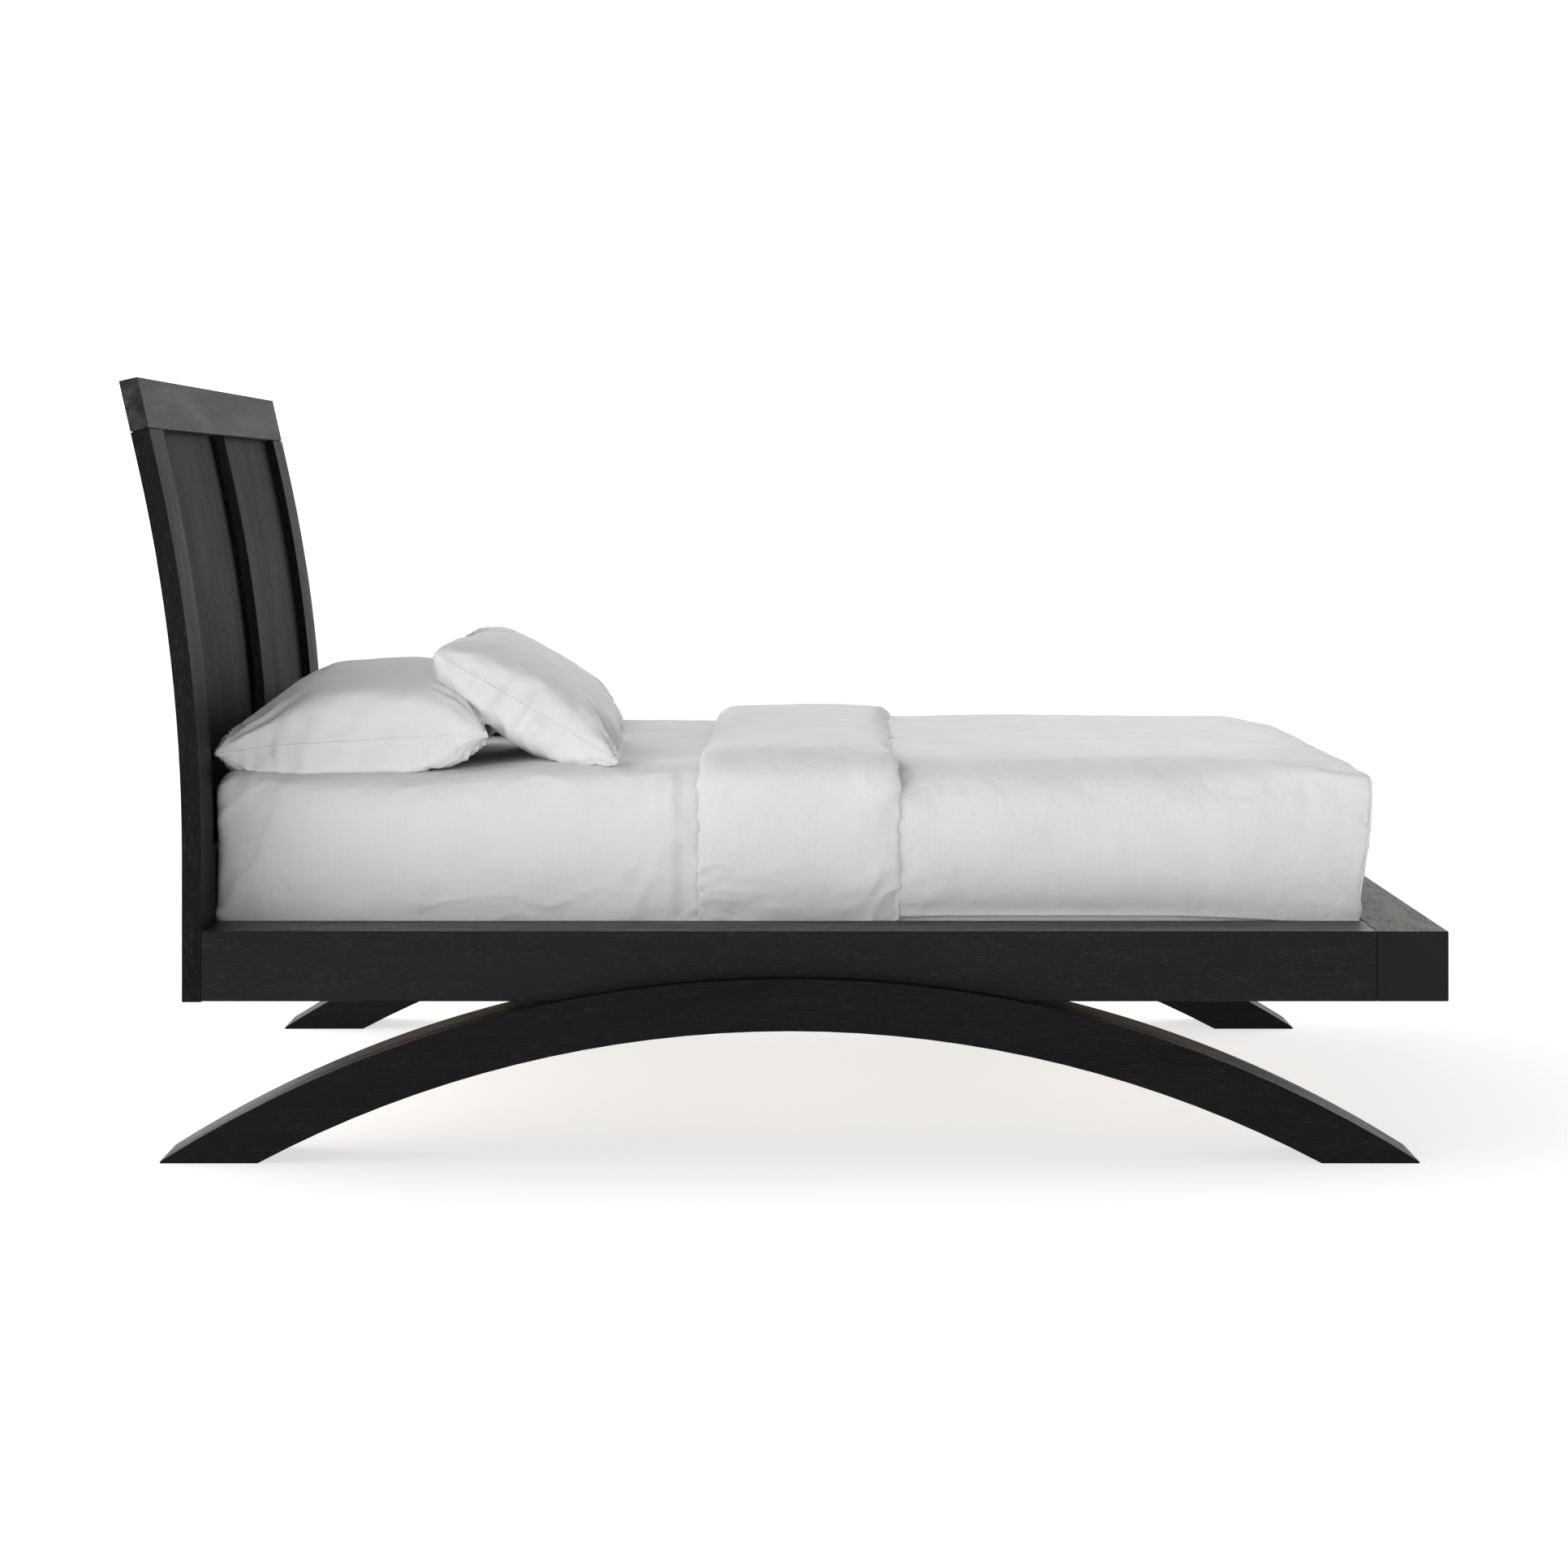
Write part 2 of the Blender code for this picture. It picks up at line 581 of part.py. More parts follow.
def pillows():
    for word, side in SIDES:
        y = side * PILLOW_MIDDLE_Y
        drop = FLAT_PILLOW_SEAM - MATTRESS_TOP - PILLOW_CLEARANCE
        cushion("pillow_flat_" + word, (FLAT_PILLOW_X, y, FLAT_PILLOW_SEAM), PILLOW_LENGTH / 2,
                PILLOW_WIDTH / 2, FLAT_PILLOW_RISE, drop, 0.0, LINEN)
        x, z = LEANING_PILLOW_CENTER
        cushion("pillow_leaning_" + word, (x, y, z), PILLOW_LENGTH / 2, LEANING_PILLOW_WIDTH / 2,
                LEANING_PILLOW_RISE, LEANING_PILLOW_DROP, LEANING_PILLOW_TILT, LINEN)


headboard_posts()
headboard_rails()
headboard_stile_and_panels()
bed_bolts()
side_rails()
foot_rail()
slats_and_supports()
arched_feet()
mattress()
duvet()
pillows()
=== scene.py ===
"""Looks for the arched-foot platform bed with a sleigh headboard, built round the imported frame."""

import math

import bmesh
import bpy
import numpy as np
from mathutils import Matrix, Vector, noise


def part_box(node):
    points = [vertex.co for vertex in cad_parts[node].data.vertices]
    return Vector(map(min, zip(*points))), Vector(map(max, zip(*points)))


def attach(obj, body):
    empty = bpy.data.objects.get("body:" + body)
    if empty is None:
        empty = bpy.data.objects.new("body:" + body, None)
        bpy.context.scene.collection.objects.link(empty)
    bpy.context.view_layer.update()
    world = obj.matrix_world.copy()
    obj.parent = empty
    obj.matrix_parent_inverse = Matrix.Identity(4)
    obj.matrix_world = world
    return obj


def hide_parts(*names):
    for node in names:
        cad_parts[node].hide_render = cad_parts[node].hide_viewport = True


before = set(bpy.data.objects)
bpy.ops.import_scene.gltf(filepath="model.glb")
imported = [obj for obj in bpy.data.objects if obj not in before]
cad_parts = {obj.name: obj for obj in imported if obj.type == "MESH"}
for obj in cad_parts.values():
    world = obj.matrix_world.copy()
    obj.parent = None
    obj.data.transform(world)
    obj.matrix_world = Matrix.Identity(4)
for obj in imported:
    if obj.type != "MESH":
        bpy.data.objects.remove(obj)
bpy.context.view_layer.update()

SCENE = bpy.context.scene
FRAME_BODY = "bed_frame"
SIDES = (("left", 1), ("right", -1))

# ---- places read from the frame ----

MATTRESS_LOW, MATTRESS_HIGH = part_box("mattress")
DUVET_LOW, DUVET_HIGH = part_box("duvet")
LEDGE_LOW, LEDGE_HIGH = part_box("side_rail_left_ledge")
RAIL_TOP = LEDGE_HIGH.z
HALF_RECESS = LEDGE_LOW.y
HALF_WIDTH = LEDGE_HIGH.y
SHEET_TOP = MATTRESS_HIGH.z + 0.006
FOOT_JOINT_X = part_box("foot_rail_ledge")[0].x

# ---- camera and light ----

CAMERA_DISTANCE = 7.17  # from the near side rail's front
CAMERA_HEIGHT = 1.156
CAMERA_LENS = 95.3
CAMERA_SHIFT = (-0.001, -0.187)
CAMERA_X = 0.003

DIM_TOWARD = Vector((0.20, -0.39, 0.90)).normalized()  # middle of the sky's dim patch
DIM_EDGE = (0.44, 0.74)  # cosine of the angle from it where the patch starts and is full
SKY_STRENGTH = (1.86, 0.10)  # outside the dim patch and inside it
SKY_ACROSS = (1.16, 0.55)  # and its factor over the headboard and past the foot
SKY_COLORS = ((1.30, 1.305, 1.32), (0.90, 0.895, 0.885))  # in front and behind
FILL_SIZE = (9.0, 3.0)
FILL_POWER = 70
FILL_DISTANCE = 3.6  # from the near side rail's front
FLOOR_GREY = 0.52
FLOOR_GLOW = 0.67


def new_object(name, data):
    obj = bpy.data.objects.new(name, data)
    SCENE.collection.objects.link(obj)
    return obj


def make_camera():
    camera = new_object("camera", bpy.data.cameras.new("camera"))
    camera.location = (CAMERA_X, -HALF_WIDTH - CAMERA_DISTANCE, CAMERA_HEIGHT)
    camera.rotation_euler = (math.radians(90), 0, 0)
    camera.data.lens = CAMERA_LENS
    camera.data.sensor_width = 36
    camera.data.shift_x, camera.data.shift_y = CAMERA_SHIFT
    camera.data.clip_end = 200
    SCENE.camera = camera


def map_range(tree, value, start, end, kind="FLOAT", interpolation="LINEAR"):
    """value, taken from the range start to the range end and clamped."""
    node = tree.nodes.new("ShaderNodeMapRange")
    node.data_type = kind
    node.interpolation_type = interpolation
    sockets = [socket for socket in node.inputs if socket.enabled]
    tree.links.new(value, sockets[0])
    for socket, number in zip(sockets[1:], (*start, *end)):
        socket.default_value = number
    return next(socket for socket in node.outputs if socket.enabled)


def make_world():
    """A white cove: bright low down all round and higher behind, dim overhead and past the foot."""
    world = bpy.data.worlds.new("studio")
    SCENE.world = world
    world.use_nodes = True
    tree = world.node_tree
    tree.nodes.clear()
    direction = tree.nodes.new("ShaderNodeTexCoord").outputs["Generated"]
    split = tree.nodes.new("ShaderNodeSeparateXYZ")
    tree.links.new(direction, split.inputs[0])
    toward = tree.nodes.new("ShaderNodeVectorMath")
    toward.operation = "DOT_PRODUCT"
    toward.inputs[1].default_value = DIM_TOWARD
    tree.links.new(direction, toward.inputs[0])
    patch = map_range(tree, toward.outputs["Value"], DIM_EDGE, SKY_STRENGTH,
                      interpolation="SMOOTHSTEP")
    across = map_range(tree, split.outputs["X"], (-0.2, 0.9), SKY_ACROSS)
    color = map_range(tree, split.outputs["Y"], ((-1, -1, -1), (1, 1, 1)), SKY_COLORS,
                      "FLOAT_VECTOR")
    strength = tree.nodes.new("ShaderNodeMath")
    strength.operation = "MULTIPLY"
    tree.links.new(patch, strength.inputs[0])
    tree.links.new(across, strength.inputs[1])
    background = tree.nodes.new("ShaderNodeBackground")
    tree.links.new(color, background.inputs["Color"])
    tree.links.new(strength.outputs[0], background.inputs["Strength"])
    output = tree.nodes.new("ShaderNodeOutputWorld")
    tree.links.new(background.outputs[0], output.inputs["Surface"])


def make_low_fill():
    """A soft light lying on the floor in front of the bed, which lights its side from below."""
    light = new_object("low_fill", bpy.data.lights.new("low_fill", "AREA"))
    light.data.shape = "RECTANGLE"
    light.data.size, light.data.size_y = FILL_SIZE
    light.data.energy = FILL_POWER
    light.data.color = (0.985, 0.985, 1.0)
    light.location = (-0.3, -HALF_WIDTH - FILL_DISTANCE, 0.01)
    light.rotation_euler = (math.radians(180), 0, 0)
    light.visible_camera = False
    light.visible_glossy = False


def make_stage():
    """A pale floor, lit from within like a light table, so that shadows on it stay faint."""
    bpy.ops.mesh.primitive_plane_add(size=120, location=(0, 0, -0.0002))
    floor = bpy.context.object
    floor.name = "floor"
    material = bpy.data.materials.new("pale_floor")
    material.use_nodes = True
    shader = material.node_tree.nodes["Principled BSDF"]
    shader.inputs["Base Color"].default_value = (FLOOR_GREY, FLOOR_GREY, FLOOR_GREY, 1)
    shader.inputs["Roughness"].default_value = 1.0
    shader.inputs["Specular IOR Level"].default_value = 0.0
    shader.inputs["Emission Color"].default_value = (1, 1, 1, 1)
    shader.inputs["Emission Strength"].default_value = FLOOR_GLOW
    floor.data.materials.append(material)


# ---- material tools ----


class Nodes:
    """A material's node tree, with short ways to add nodes and join them."""

    def __init__(self, name):
        self.material = bpy.data.materials.new(name)
        self.material.use_nodes = True
        self.tree = self.material.node_tree
        self.shader = self.tree.nodes["Principled BSDF"]
        self.coords = self.tree.nodes.new("ShaderNodeTexCoord").outputs["Object"]

    def put(self, socket, value):
        if isinstance(value, bpy.types.NodeSocket):
            self.tree.links.new(value, socket)
        else:
            socket.default_value = value

    def constant(self, **values):
        """Numbers that are the same all over the surface, on the shader's own sockets."""
        for name, value in values.items():
            self.shader.inputs[name.replace("_", " ")].default_value = value

    def noise(self, scale, detail=3.0, roughness=0.5, distortion=0.0):
        """Noise with so many features a metre along X, Y and Z."""
        mapping = self.tree.nodes.new("ShaderNodeMapping")
        mapping.inputs["Scale"].default_value = scale
        self.put(mapping.inputs["Vector"], self.coords)
        node = self.tree.nodes.new("ShaderNodeTexNoise")
        self.put(node.inputs["Vector"], mapping.outputs[0])
        node.inputs["Scale"].default_value = 1.0
        node.inputs["Detail"].default_value = detail
        node.inputs["Roughness"].default_value = roughness
        node.inputs["Distortion"].default_value = distortion
        return node.outputs["Fac"]

    def ramp(self, value, low, high, start=0.0, end=1.0):
        return map_range(self.tree, value, (low, high), (start, end))

    def math(self, operation, a, b=0.0):
        node = self.tree.nodes.new("ShaderNodeMath")
        node.operation = operation
        self.put(node.inputs[0], a)
        self.put(node.inputs[1], b)
        return node.outputs[0]

    def mix(self, factor, a, b):
        node = self.tree.nodes.new("ShaderNodeMix")
        node.data_type = "RGBA"
        self.put(node.inputs["Factor"], factor)
        self.put(node.inputs["A"], a)
        self.put(node.inputs["B"], b)
        return node.outputs["Result"]

    def bump(self, height, distance, strength=1.0, under=None):
        node = self.tree.nodes.new("ShaderNodeBump")
        node.inputs["Strength"].default_value = strength
        node.inputs["Distance"].default_value = distance
        self.put(node.inputs["Height"], height)
        if under is not None:
            self.put(node.inputs["Normal"], under)
        return node.outputs[0]

    def finish(self, color, roughness, normal):
        self.put(self.shader.inputs["Base Color"], color)
        self.put(self.shader.inputs["Roughness"], roughness)
        self.put(self.shader.inputs["Normal"], normal)
        return self.material


def along_grain(axis, across, along):
    """Texture scales per metre, with the grain running along one axis (0, 1 or 2)."""
    return tuple(along if i == axis else across for i in range(3))


# ---- wood ----

GRAIN_X, GRAIN_Y, GRAIN_Z = 0, 1, 2
# how many features a metre of wood has, across its grain and along it
DRIFT = (9, 1.2)
FIBRE = (420, 9)
PORE = (900, 60)
PORE_CLUSTER = (55, 7)
BLACK_STAIN = dict(dark=(0.0054, 0.0060, 0.0056), light=(0.0112, 0.0122, 0.0114), gloss=0.10)
MATTE_STAIN = dict(BLACK_STAIN, gloss=0.030)
EASE, PANEL_EASE, STRETCHER_EASE = 0.0011, 0.0006, 0.002  # bevels of the edges


def stained_wood(name, axis, dark, light, pore_and_glint, sheen=0.40, pores=1.0, figure=1.0, gloss=0.30):
    """Open-pored wood under a black-brown stain: fine fibres, short pores and slow colour drift.
    Pores darker than the wood are real grain; pores lighter than the wood are painted glints.
    """
    n = Nodes(name)
    drift = n.noise(along_grain(axis, *DRIFT), 3, 0.55, 0.4)
    fibre = n.noise(along_grain(axis, *FIBRE), 4, 0.62, 0.15)
    dash = n.noise(along_grain(axis, *PORE), 2, 0.5)
    cluster = n.noise(along_grain(axis, *PORE_CLUSTER), 2, 0.5)
    pore_and_glint_mask = n.ramp(n.math("ADD", dash, n.math("MULTIPLY", cluster, 0.30)), 0.72, 0.80)
    pore_and_glint_mask = n.math("MULTIPLY", pore_and_glint_mask, pores)
    tone = n.math("ADD", n.math("MULTIPLY", drift, 0.6), n.math("MULTIPLY", fibre, 0.4 * figure))
    base = n.mix(n.ramp(tone, 0.30, 0.70), (*dark, 1), (*light, 1))
    # pore colour mixed in: dark pores are real grain, light pores are painted glints
    color = n.mix(pore_and_glint_mask, base, (*pore_and_glint, 1))
    satin = n.ramp(n.math("ADD", fibre, drift), 0.7, 1.3, sheen - 0.07, sheen + 0.09)
    roughness = n.math("ADD", satin, n.math("MULTIPLY", pore_and_glint_mask, 0.25))
    normal = n.bump(fibre, 0.00025, 0.55 * figure)
    normal = n.bump(n.math("SUBTRACT", 1.0, pore_and_glint_mask), 0.0004, 0.5, normal)
    n.constant(Specular_IOR_Level=gloss)
    return n.finish(color, roughness, normal)


def plain_pine(name, axis):
    """Planed softwood with slow growth bands, for the pieces nobody sees."""
    n = Nodes(name)
    bands = n.noise(along_grain(axis, 38, 1.5), 3, 0.5, 1.2)
    fibre = n.noise(along_grain(axis, 500, 14), 3, 0.6)
    tone = n.math("ADD", n.math("MULTIPLY", bands, 0.7), n.math("MULTIPLY", fibre, 0.3))
    color = n.mix(n.ramp(tone, 0.35, 0.68), (0.66, 0.47, 0.27, 1), (0.45, 0.29, 0.14, 1))
    return n.finish(color, n.ramp(fibre, 0.3, 0.7, 0.55, 0.75), n.bump(fibre, 0.0003, 0.4))


def zinc_steel():
    n = Nodes("black_zinc_steel")
    wear = n.noise((260, 260, 260), 4, 0.6)
    color = n.mix(n.ramp(wear, 0.45, 0.7), (0.06, 0.06, 0.06, 1), (0.22, 0.21, 0.19, 1))
    n.constant(Metallic=1.0)
    return n.finish(color, n.ramp(wear, 0.3, 0.7, 0.28, 0.5), n.bump(wear, 0.0001, 0.3))


def clean_copy(node):
    """A copy of a CAD node's mesh with flat areas merged and each edge eased by a small bevel."""
    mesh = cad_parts[node].data.copy()
    solid = bmesh.new()
    solid.from_mesh(mesh)
    bmesh.ops.remove_doubles(solid, verts=solid.verts, dist=0.00002)
    bmesh.ops.dissolve_limit(solid, angle_limit=math.radians(0.2), verts=solid.verts,
                             edges=solid.edges)
    solid.to_mesh(mesh)
    solid.free()
    return mesh


def ease_edges(obj, width):
    bevel = obj.modifiers.new("eased", "BEVEL")
    bevel.width = width
    bevel.segments = 2
    bevel.limit_method = "ANGLE"
    bevel.angle_limit = math.radians(35)
    bevel.harden_normals = True
    obj.data.shade_smooth()
    obj.data.set_sharp_from_angle(angle=math.radians(30))


def finish_wood(node, material, ease=EASE):
    """The visible piece that stands for a wooden CAD node: the same solid with eased edges."""
    obj = new_object(node + "_finished", clean_copy(node))
    obj.data.materials.clear()
    obj.data.materials.append(material)
    ease_edges(obj, ease)
    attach(obj, FRAME_BODY)
    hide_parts(node)


def dress_frame():
    rail = stained_wood("rail_black_oak", GRAIN_X, pore_and_glint=(0.024, 0.026, 0.024), **BLACK_STAIN)
    arch = stained_wood("arch_black_oak", GRAIN_X, pore_and_glint=(0.020, 0.021, 0.020), pores=0.6,
                        **MATTE_STAIN)
    end = stained_wood("end_black_oak", GRAIN_Z, pore_and_glint=(0.012, 0.012, 0.012), pores=0.3,
                       **BLACK_STAIN)
    foot_side = stained_wood("foot_black_oak", GRAIN_Y, pore_and_glint=(0.035, 0.035, 0.034), **BLACK_STAIN)
    post = stained_wood("post_black_oak", GRAIN_Z, pore_and_glint=(0.030, 0.031, 0.028), pores=0.8,
                        sheen=0.5, **MATTE_STAIN)
    # side ledges: a tone lighter than the black stain, painted as the sheen of their upward faces
    ledge_painted_sheen = stained_wood("ledge_black_oak", GRAIN_X, (0.018, 0.018, 0.018), (0.034, 0.033, 0.031),
                         (0.008, 0.008, 0.008), 0.42, gloss=0.19)
    # foot rail top: a warm tone, far lighter than the black stain, painted as the sheen of its
    # upward face
    foot_top_painted_sheen = stained_wood("foot_ledge_oak", GRAIN_Y, (0.058, 0.053, 0.041),
                            (0.108, 0.099, 0.079), (0.022, 0.020, 0.016), 0.5, gloss=0.07)
    # top rail: its tone, lighter than the black stain, is painted sheen, and its very light pore
    # flecks are painted glints
    top_rail_painted_sheen_glints = stained_wood("top_rail_oak", GRAIN_Y, (0.014, 0.0145, 0.0135),
                            (0.027, 0.028, 0.0255), (0.150, 0.154, 0.146), 0.46, gloss=0.022)
    panel = stained_wood("panel_oak", GRAIN_Z, (0.012, 0.0122, 0.011), (0.021, 0.0212, 0.019),
                         (0.008, 0.008, 0.0075), 0.54, 0.4, 0.8, 0.014)
    # centre stile: a tone darker than the black stain, painted shade, with light pore flecks painted
    # as glints
    stile_painted_shade_glints = stained_wood("stile_black_oak", GRAIN_Z, (0.0045, 0.005, 0.0045), (0.009, 0.010, 0.009),
                         (0.045, 0.047, 0.043), 0.56, pores=0.6, gloss=0.0)
    for side, _ in SIDES:
        finish_wood(f"side_rail_{side}_fascia", rail)
        finish_wood(f"side_rail_{side}_ledge", ledge_painted_sheen)
        finish_wood(f"side_rail_{side}_apron", rail)
        finish_wood(f"foot_rail_end_cap_{side}", end)
        finish_wood(f"arch_{side}_outer_plate", arch)
        finish_wood(f"arch_{side}_core", arch)
        finish_wood(f"headboard_post_{side}", post)
        finish_wood(f"headboard_panel_{side}", panel, PANEL_EASE)
    finish_wood("foot_rail_fascia", foot_side)
    finish_wood("foot_rail_apron", foot_side)
    finish_wood("foot_rail_ledge", foot_top_painted_sheen)
    finish_wood("headboard_top_rail", top_rail_painted_sheen_glints)
    finish_wood("headboard_bottom_rail", foot_side)
    finish_wood("headboard_center_stile", stile_painted_shade_glints)
    for word in ("head", "foot"):
        finish_wood(f"arch_stretcher_{word}", foot_side, STRETCHER_EASE)


def dress_hidden_nodes():
    """Slats, beams, cleats, blocks and bolts keep their CAD shape and get a real material. The
    cleats' black stain also paints the gap between sheet and ledge dark, as shade.
    """
    pine_x, pine_y = (plain_pine(f"plain_pine_{axis}", axis) for axis in (GRAIN_X, GRAIN_Y))
    steel = zinc_steel()
    # black stain on the cleats, which also paints the gap between sheet and ledge dark, as shade
    black = stained_wood("cleat_black_oak", GRAIN_X, pore_and_glint=(0.024, 0.026, 0.024), **BLACK_STAIN)
    kinds = (("bed_bolt", steel), ("slat_", pine_y), ("head_cross_rail", pine_y),
             ("_cleat", black), ("_block", pine_x), ("center_beam", pine_x))
    for name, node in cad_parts.items():
        for word, material in kinds:
            if word in name:
                node.data.materials.clear()
                node.data.materials.append(material)


# ---- cloth ----


def cotton(name, color, shade, crease=1.0):
    """Close-woven white cotton with a soft sheen: threads, slight unevenness and faint creases."""
    n = Nodes(name)
    drift = n.noise((7, 7, 7), 3, 0.5, 0.3)
    crumple = n.noise((22, 22, 22), 3, 0.5, 0.25)
    warp = n.noise((2200, 2200, 160), 1, 0.5)
    weft = n.noise((160, 160, 2200), 1, 0.5)
    thread = n.math("ADD", warp, weft)
    slub = n.math("ADD", n.noise((9, 9, 420), 2, 0.5), n.noise((420, 420, 9), 2, 0.5))
    patch = n.math("ADD", n.math("MULTIPLY", drift, 0.5), n.math("MULTIPLY", slub, 0.25))
    tint = n.mix(n.ramp(patch, 0.38, 0.62), (*color, 1), (*shade, 1))
    normal = n.bump(crumple, 0.0056 * crease, 0.9)
    normal = n.bump(n.math("ADD", thread, slub), 0.0004, 0.40, normal)
    n.constant(Specular_IOR_Level=0.25, Sheen_Weight=0.12, Sheen_Roughness=0.4)
    return n.finish(tint, n.ramp(drift, 0.3, 0.7, 0.66, 0.78), normal)


def ticking():
    """Quilted mattress cover, off-white, with a fine diagonal rib."""
    n = Nodes("mattress_ticking")
    wave = n.tree.nodes.new("ShaderNodeTexWave")
    wave.inputs["Scale"].default_value = 90
    wave.bands_direction = "DIAGONAL"
    n.put(wave.inputs["Vector"], n.coords)
    cloudy = n.noise((12, 12, 12), 3, 0.5)
    color = n.mix(n.ramp(cloudy, 0.3, 0.7), (0.66, 0.65, 0.63, 1), (0.74, 0.73, 0.71, 1))
    return n.finish(color, n.ramp(cloudy, 0.3, 0.7, 0.8, 0.9), n.bump(wave.outputs["Fac"], 0.0006))


def mesh_object(name, points, faces, material):
    mesh = bpy.data.meshes.new(name)
    mesh.from_pydata([tuple(p) for p in points], [], faces)
    mesh.validate()
    mesh.materials.append(material)
    mesh.shade_smooth()
    return new_object(name, mesh)


def read_vectors(obj, name):
    values = np.zeros(len(obj.data.vertices) * 3)
    obj.data.vertices.foreach_get(name, values)
    return values.reshape(-1, 3)


def get_points(obj):
    return read_vectors(obj, "co")


def set_points(obj, points):
    obj.data.vertices.foreach_set("co", np.asarray(points, float).ravel())
    obj.data.update()


def apply_modifiers(obj):
    graph = bpy.context.evaluated_depsgraph_get()
    mesh = bpy.data.meshes.new_from_object(obj.evaluated_get(graph))
    old = obj.data
    obj.modifiers.clear()
    obj.data = mesh
    bpy.data.meshes.remove(old)


def subdivide(obj):
    """One level of smooth subdivision, applied."""
    subdivision = obj.modifiers.new("smooth", "SUBSURF")
    subdivision.levels = 1
    subdivision.render_levels = 1
    apply_modifiers(obj)


def thicken(obj, thickness):
    """Give an open cloth surface its thickness, inwards."""
    solid = obj.modifiers.new("thickness", "SOLIDIFY")
    solid.thickness = thickness
    solid.offset = -1.0
    apply_modifiers(obj)


THREAD_STIFFNESS = 40.0
CLOTH_MASS = 0.15


def simulate(obj, frames, cap, pins=None, grow=0.0, loose=None, pressure=0.0, bend=0.05):
    """Let cloth settle without gravity: it is given extra length, and swells between its pins.

    grow is the share of extra cloth along each thread, where loose (0 to 1 at each point) says.
    Pressure pushes along the normals. No point ends more than cap away from where it started.
    """
    start = get_points(obj)
    cloth = obj.modifiers.new("cloth", "CLOTH")
    settings = cloth.settings
    settings.quality = 5
    settings.mass = CLOTH_MASS
    settings.tension_stiffness = THREAD_STIFFNESS
    settings.compression_stiffness = THREAD_STIFFNESS
    settings.shear_stiffness = THREAD_STIFFNESS / 3
    settings.bending_stiffness = bend
    settings.effector_weights.gravity = 0.0
    settings.air_damping = 3.0
    settings.shrink_min = -grow
    if loose is not None:
        settings.shrink_min = 0.0
        settings.shrink_max = -grow
        settings.vertex_group_shrink = weight_group(obj, "loose", loose)
    if pressure:
        settings.use_pressure = True
        settings.uniform_pressure_force = pressure
    if pins is not None:
        settings.vertex_group_mass = weight_group(obj, "pins", pins)
    cloth.collision_settings.use_collision = False
    cloth.point_cache.frame_start = 1
    cloth.point_cache.frame_end = frames
    for step in range(1, frames + 1):
        SCENE.frame_set(step)
    apply_modifiers(obj)
    SCENE.frame_set(1)
    obj.vertex_groups.clear()
    moved = get_points(obj) - start
    length = np.maximum(np.linalg.norm(moved, axis=1, keepdims=True), 1e-9)
    set_points(obj, start + moved * cap * np.tanh(length / cap) / length)


def weight_group(obj, name, weights):
    group = obj.vertex_groups.new(name=name)
    for index, weight in enumerate(weights):
        if weight > 0:
            group.add([index], float(min(weight, 1.0)), "REPLACE")
    return group.name


def noise_at(places):
    return np.array([noise.noise(Vector(place)) for place in places])


def ripple(points, sizes, seed):
    """Smooth noise from -1 to 1 at each point; sizes is how long its features are along X, Y, Z."""
    return noise_at(points / np.array(sizes) + seed)


def smoothstep(value, low, high):
    t = np.clip((value - low) / (high - low), 0.0, 1.0)
    return t * t * (3 - 2 * t)


def push_out(obj, height):
    """Move each point along its normal by its own height."""
    set_points(obj, get_points(obj) + read_vectors(obj, "normal") * height[:, None])


def creases(points, across, along, angle, seed, plane=(0, 2)):
    """Ridges from 0 to 1 along a direction in the plane of two axes, about across / 3 wide."""
    a, b = (points[:, i] for i in plane)
    turn = math.radians(angle)
    drift = 0.6 * across * ripple(points, (0.07, 0.07, 0.07), seed + 9.0)
    run = a * math.cos(turn) + b * math.sin(turn)
    cross = -a * math.sin(turn) + b * math.cos(turn) + drift
    flat = np.column_stack([run / along, cross / across, np.zeros(len(points))])
    return np.clip(1 - np.abs(noise_at(flat + seed)) * 3.0, 0.0, 1.0) ** 1.5


def slack_of(points, ripples, folds):
    """Heights of a cloth's slack.

    ripples are (height, sizes, seed), and folds are (where, height, across, along, angle, seed).
    """
    slack = np.zeros(len(points))
    for height, sizes, seed in ripples:
        slack += height * ripple(points, sizes, seed)
    for where, height, *crease in folds:
        slack += where * height * creases(points, *crease)
    return slack


def puckers(distance, along, reach, length, seed):
    """Small gathers beside a seam, by the distance from it and the place along it, -1 to 1."""
    line = np.column_stack([along / length, distance / (reach * 3), np.full(len(along), seed)])
    return np.clip(noise_at(line) * 1.8, -1, 1) * np.exp(-distance / reach)


def seam_cord(name, path, radius, material, closed=False):
    """A thin round cord along points, for a piped or stitched edge."""
    curve = bpy.data.curves.new(name, "CURVE")
    curve.dimensions = "3D"
    curve.bevel_depth = radius
    curve.bevel_resolution = 2
    curve.use_fill_caps = not closed
    spline = curve.splines.new("POLY")
    spline.points.add(len(path) - 1)
    for point, place in zip(spline.points, path):
        point.co = (*place, 1.0)
    spline.use_cyclic_u = closed
    obj = new_object(name + "_path", curve)
    mesh = bpy.data.meshes.new_from_object(
        obj.evaluated_get(bpy.context.evaluated_depsgraph_get()))
    bpy.data.objects.remove(obj, do_unlink=True)
    bpy.data.curves.remove(curve)
    mesh.materials.clear()
    mesh.materials.append(material)
    mesh.shade_smooth()
    return new_object(name, mesh)


# ---- bedding shapes ----


def stations(low, high, fine, coarse, reach):
    """Places from low to high, fine steps apart near both ends and coarse steps in the middle."""
    near = np.linspace(0, reach, int(round(reach / fine)) + 1)
    middle = np.linspace(low + reach, high - reach,
                         max(int(round((high - low - 2 * reach) / coarse)), 1) + 1)
    return np.concatenate([low + near[:-1], middle, (high - near)[::-1][1:]])


def grid_lines(low, high, rows):
    """A box's stations along X, Y and Z: each row is fine, coarse and reach."""
    return [stations(a, b, *row) for a, b, row in zip(low, high, rows)]


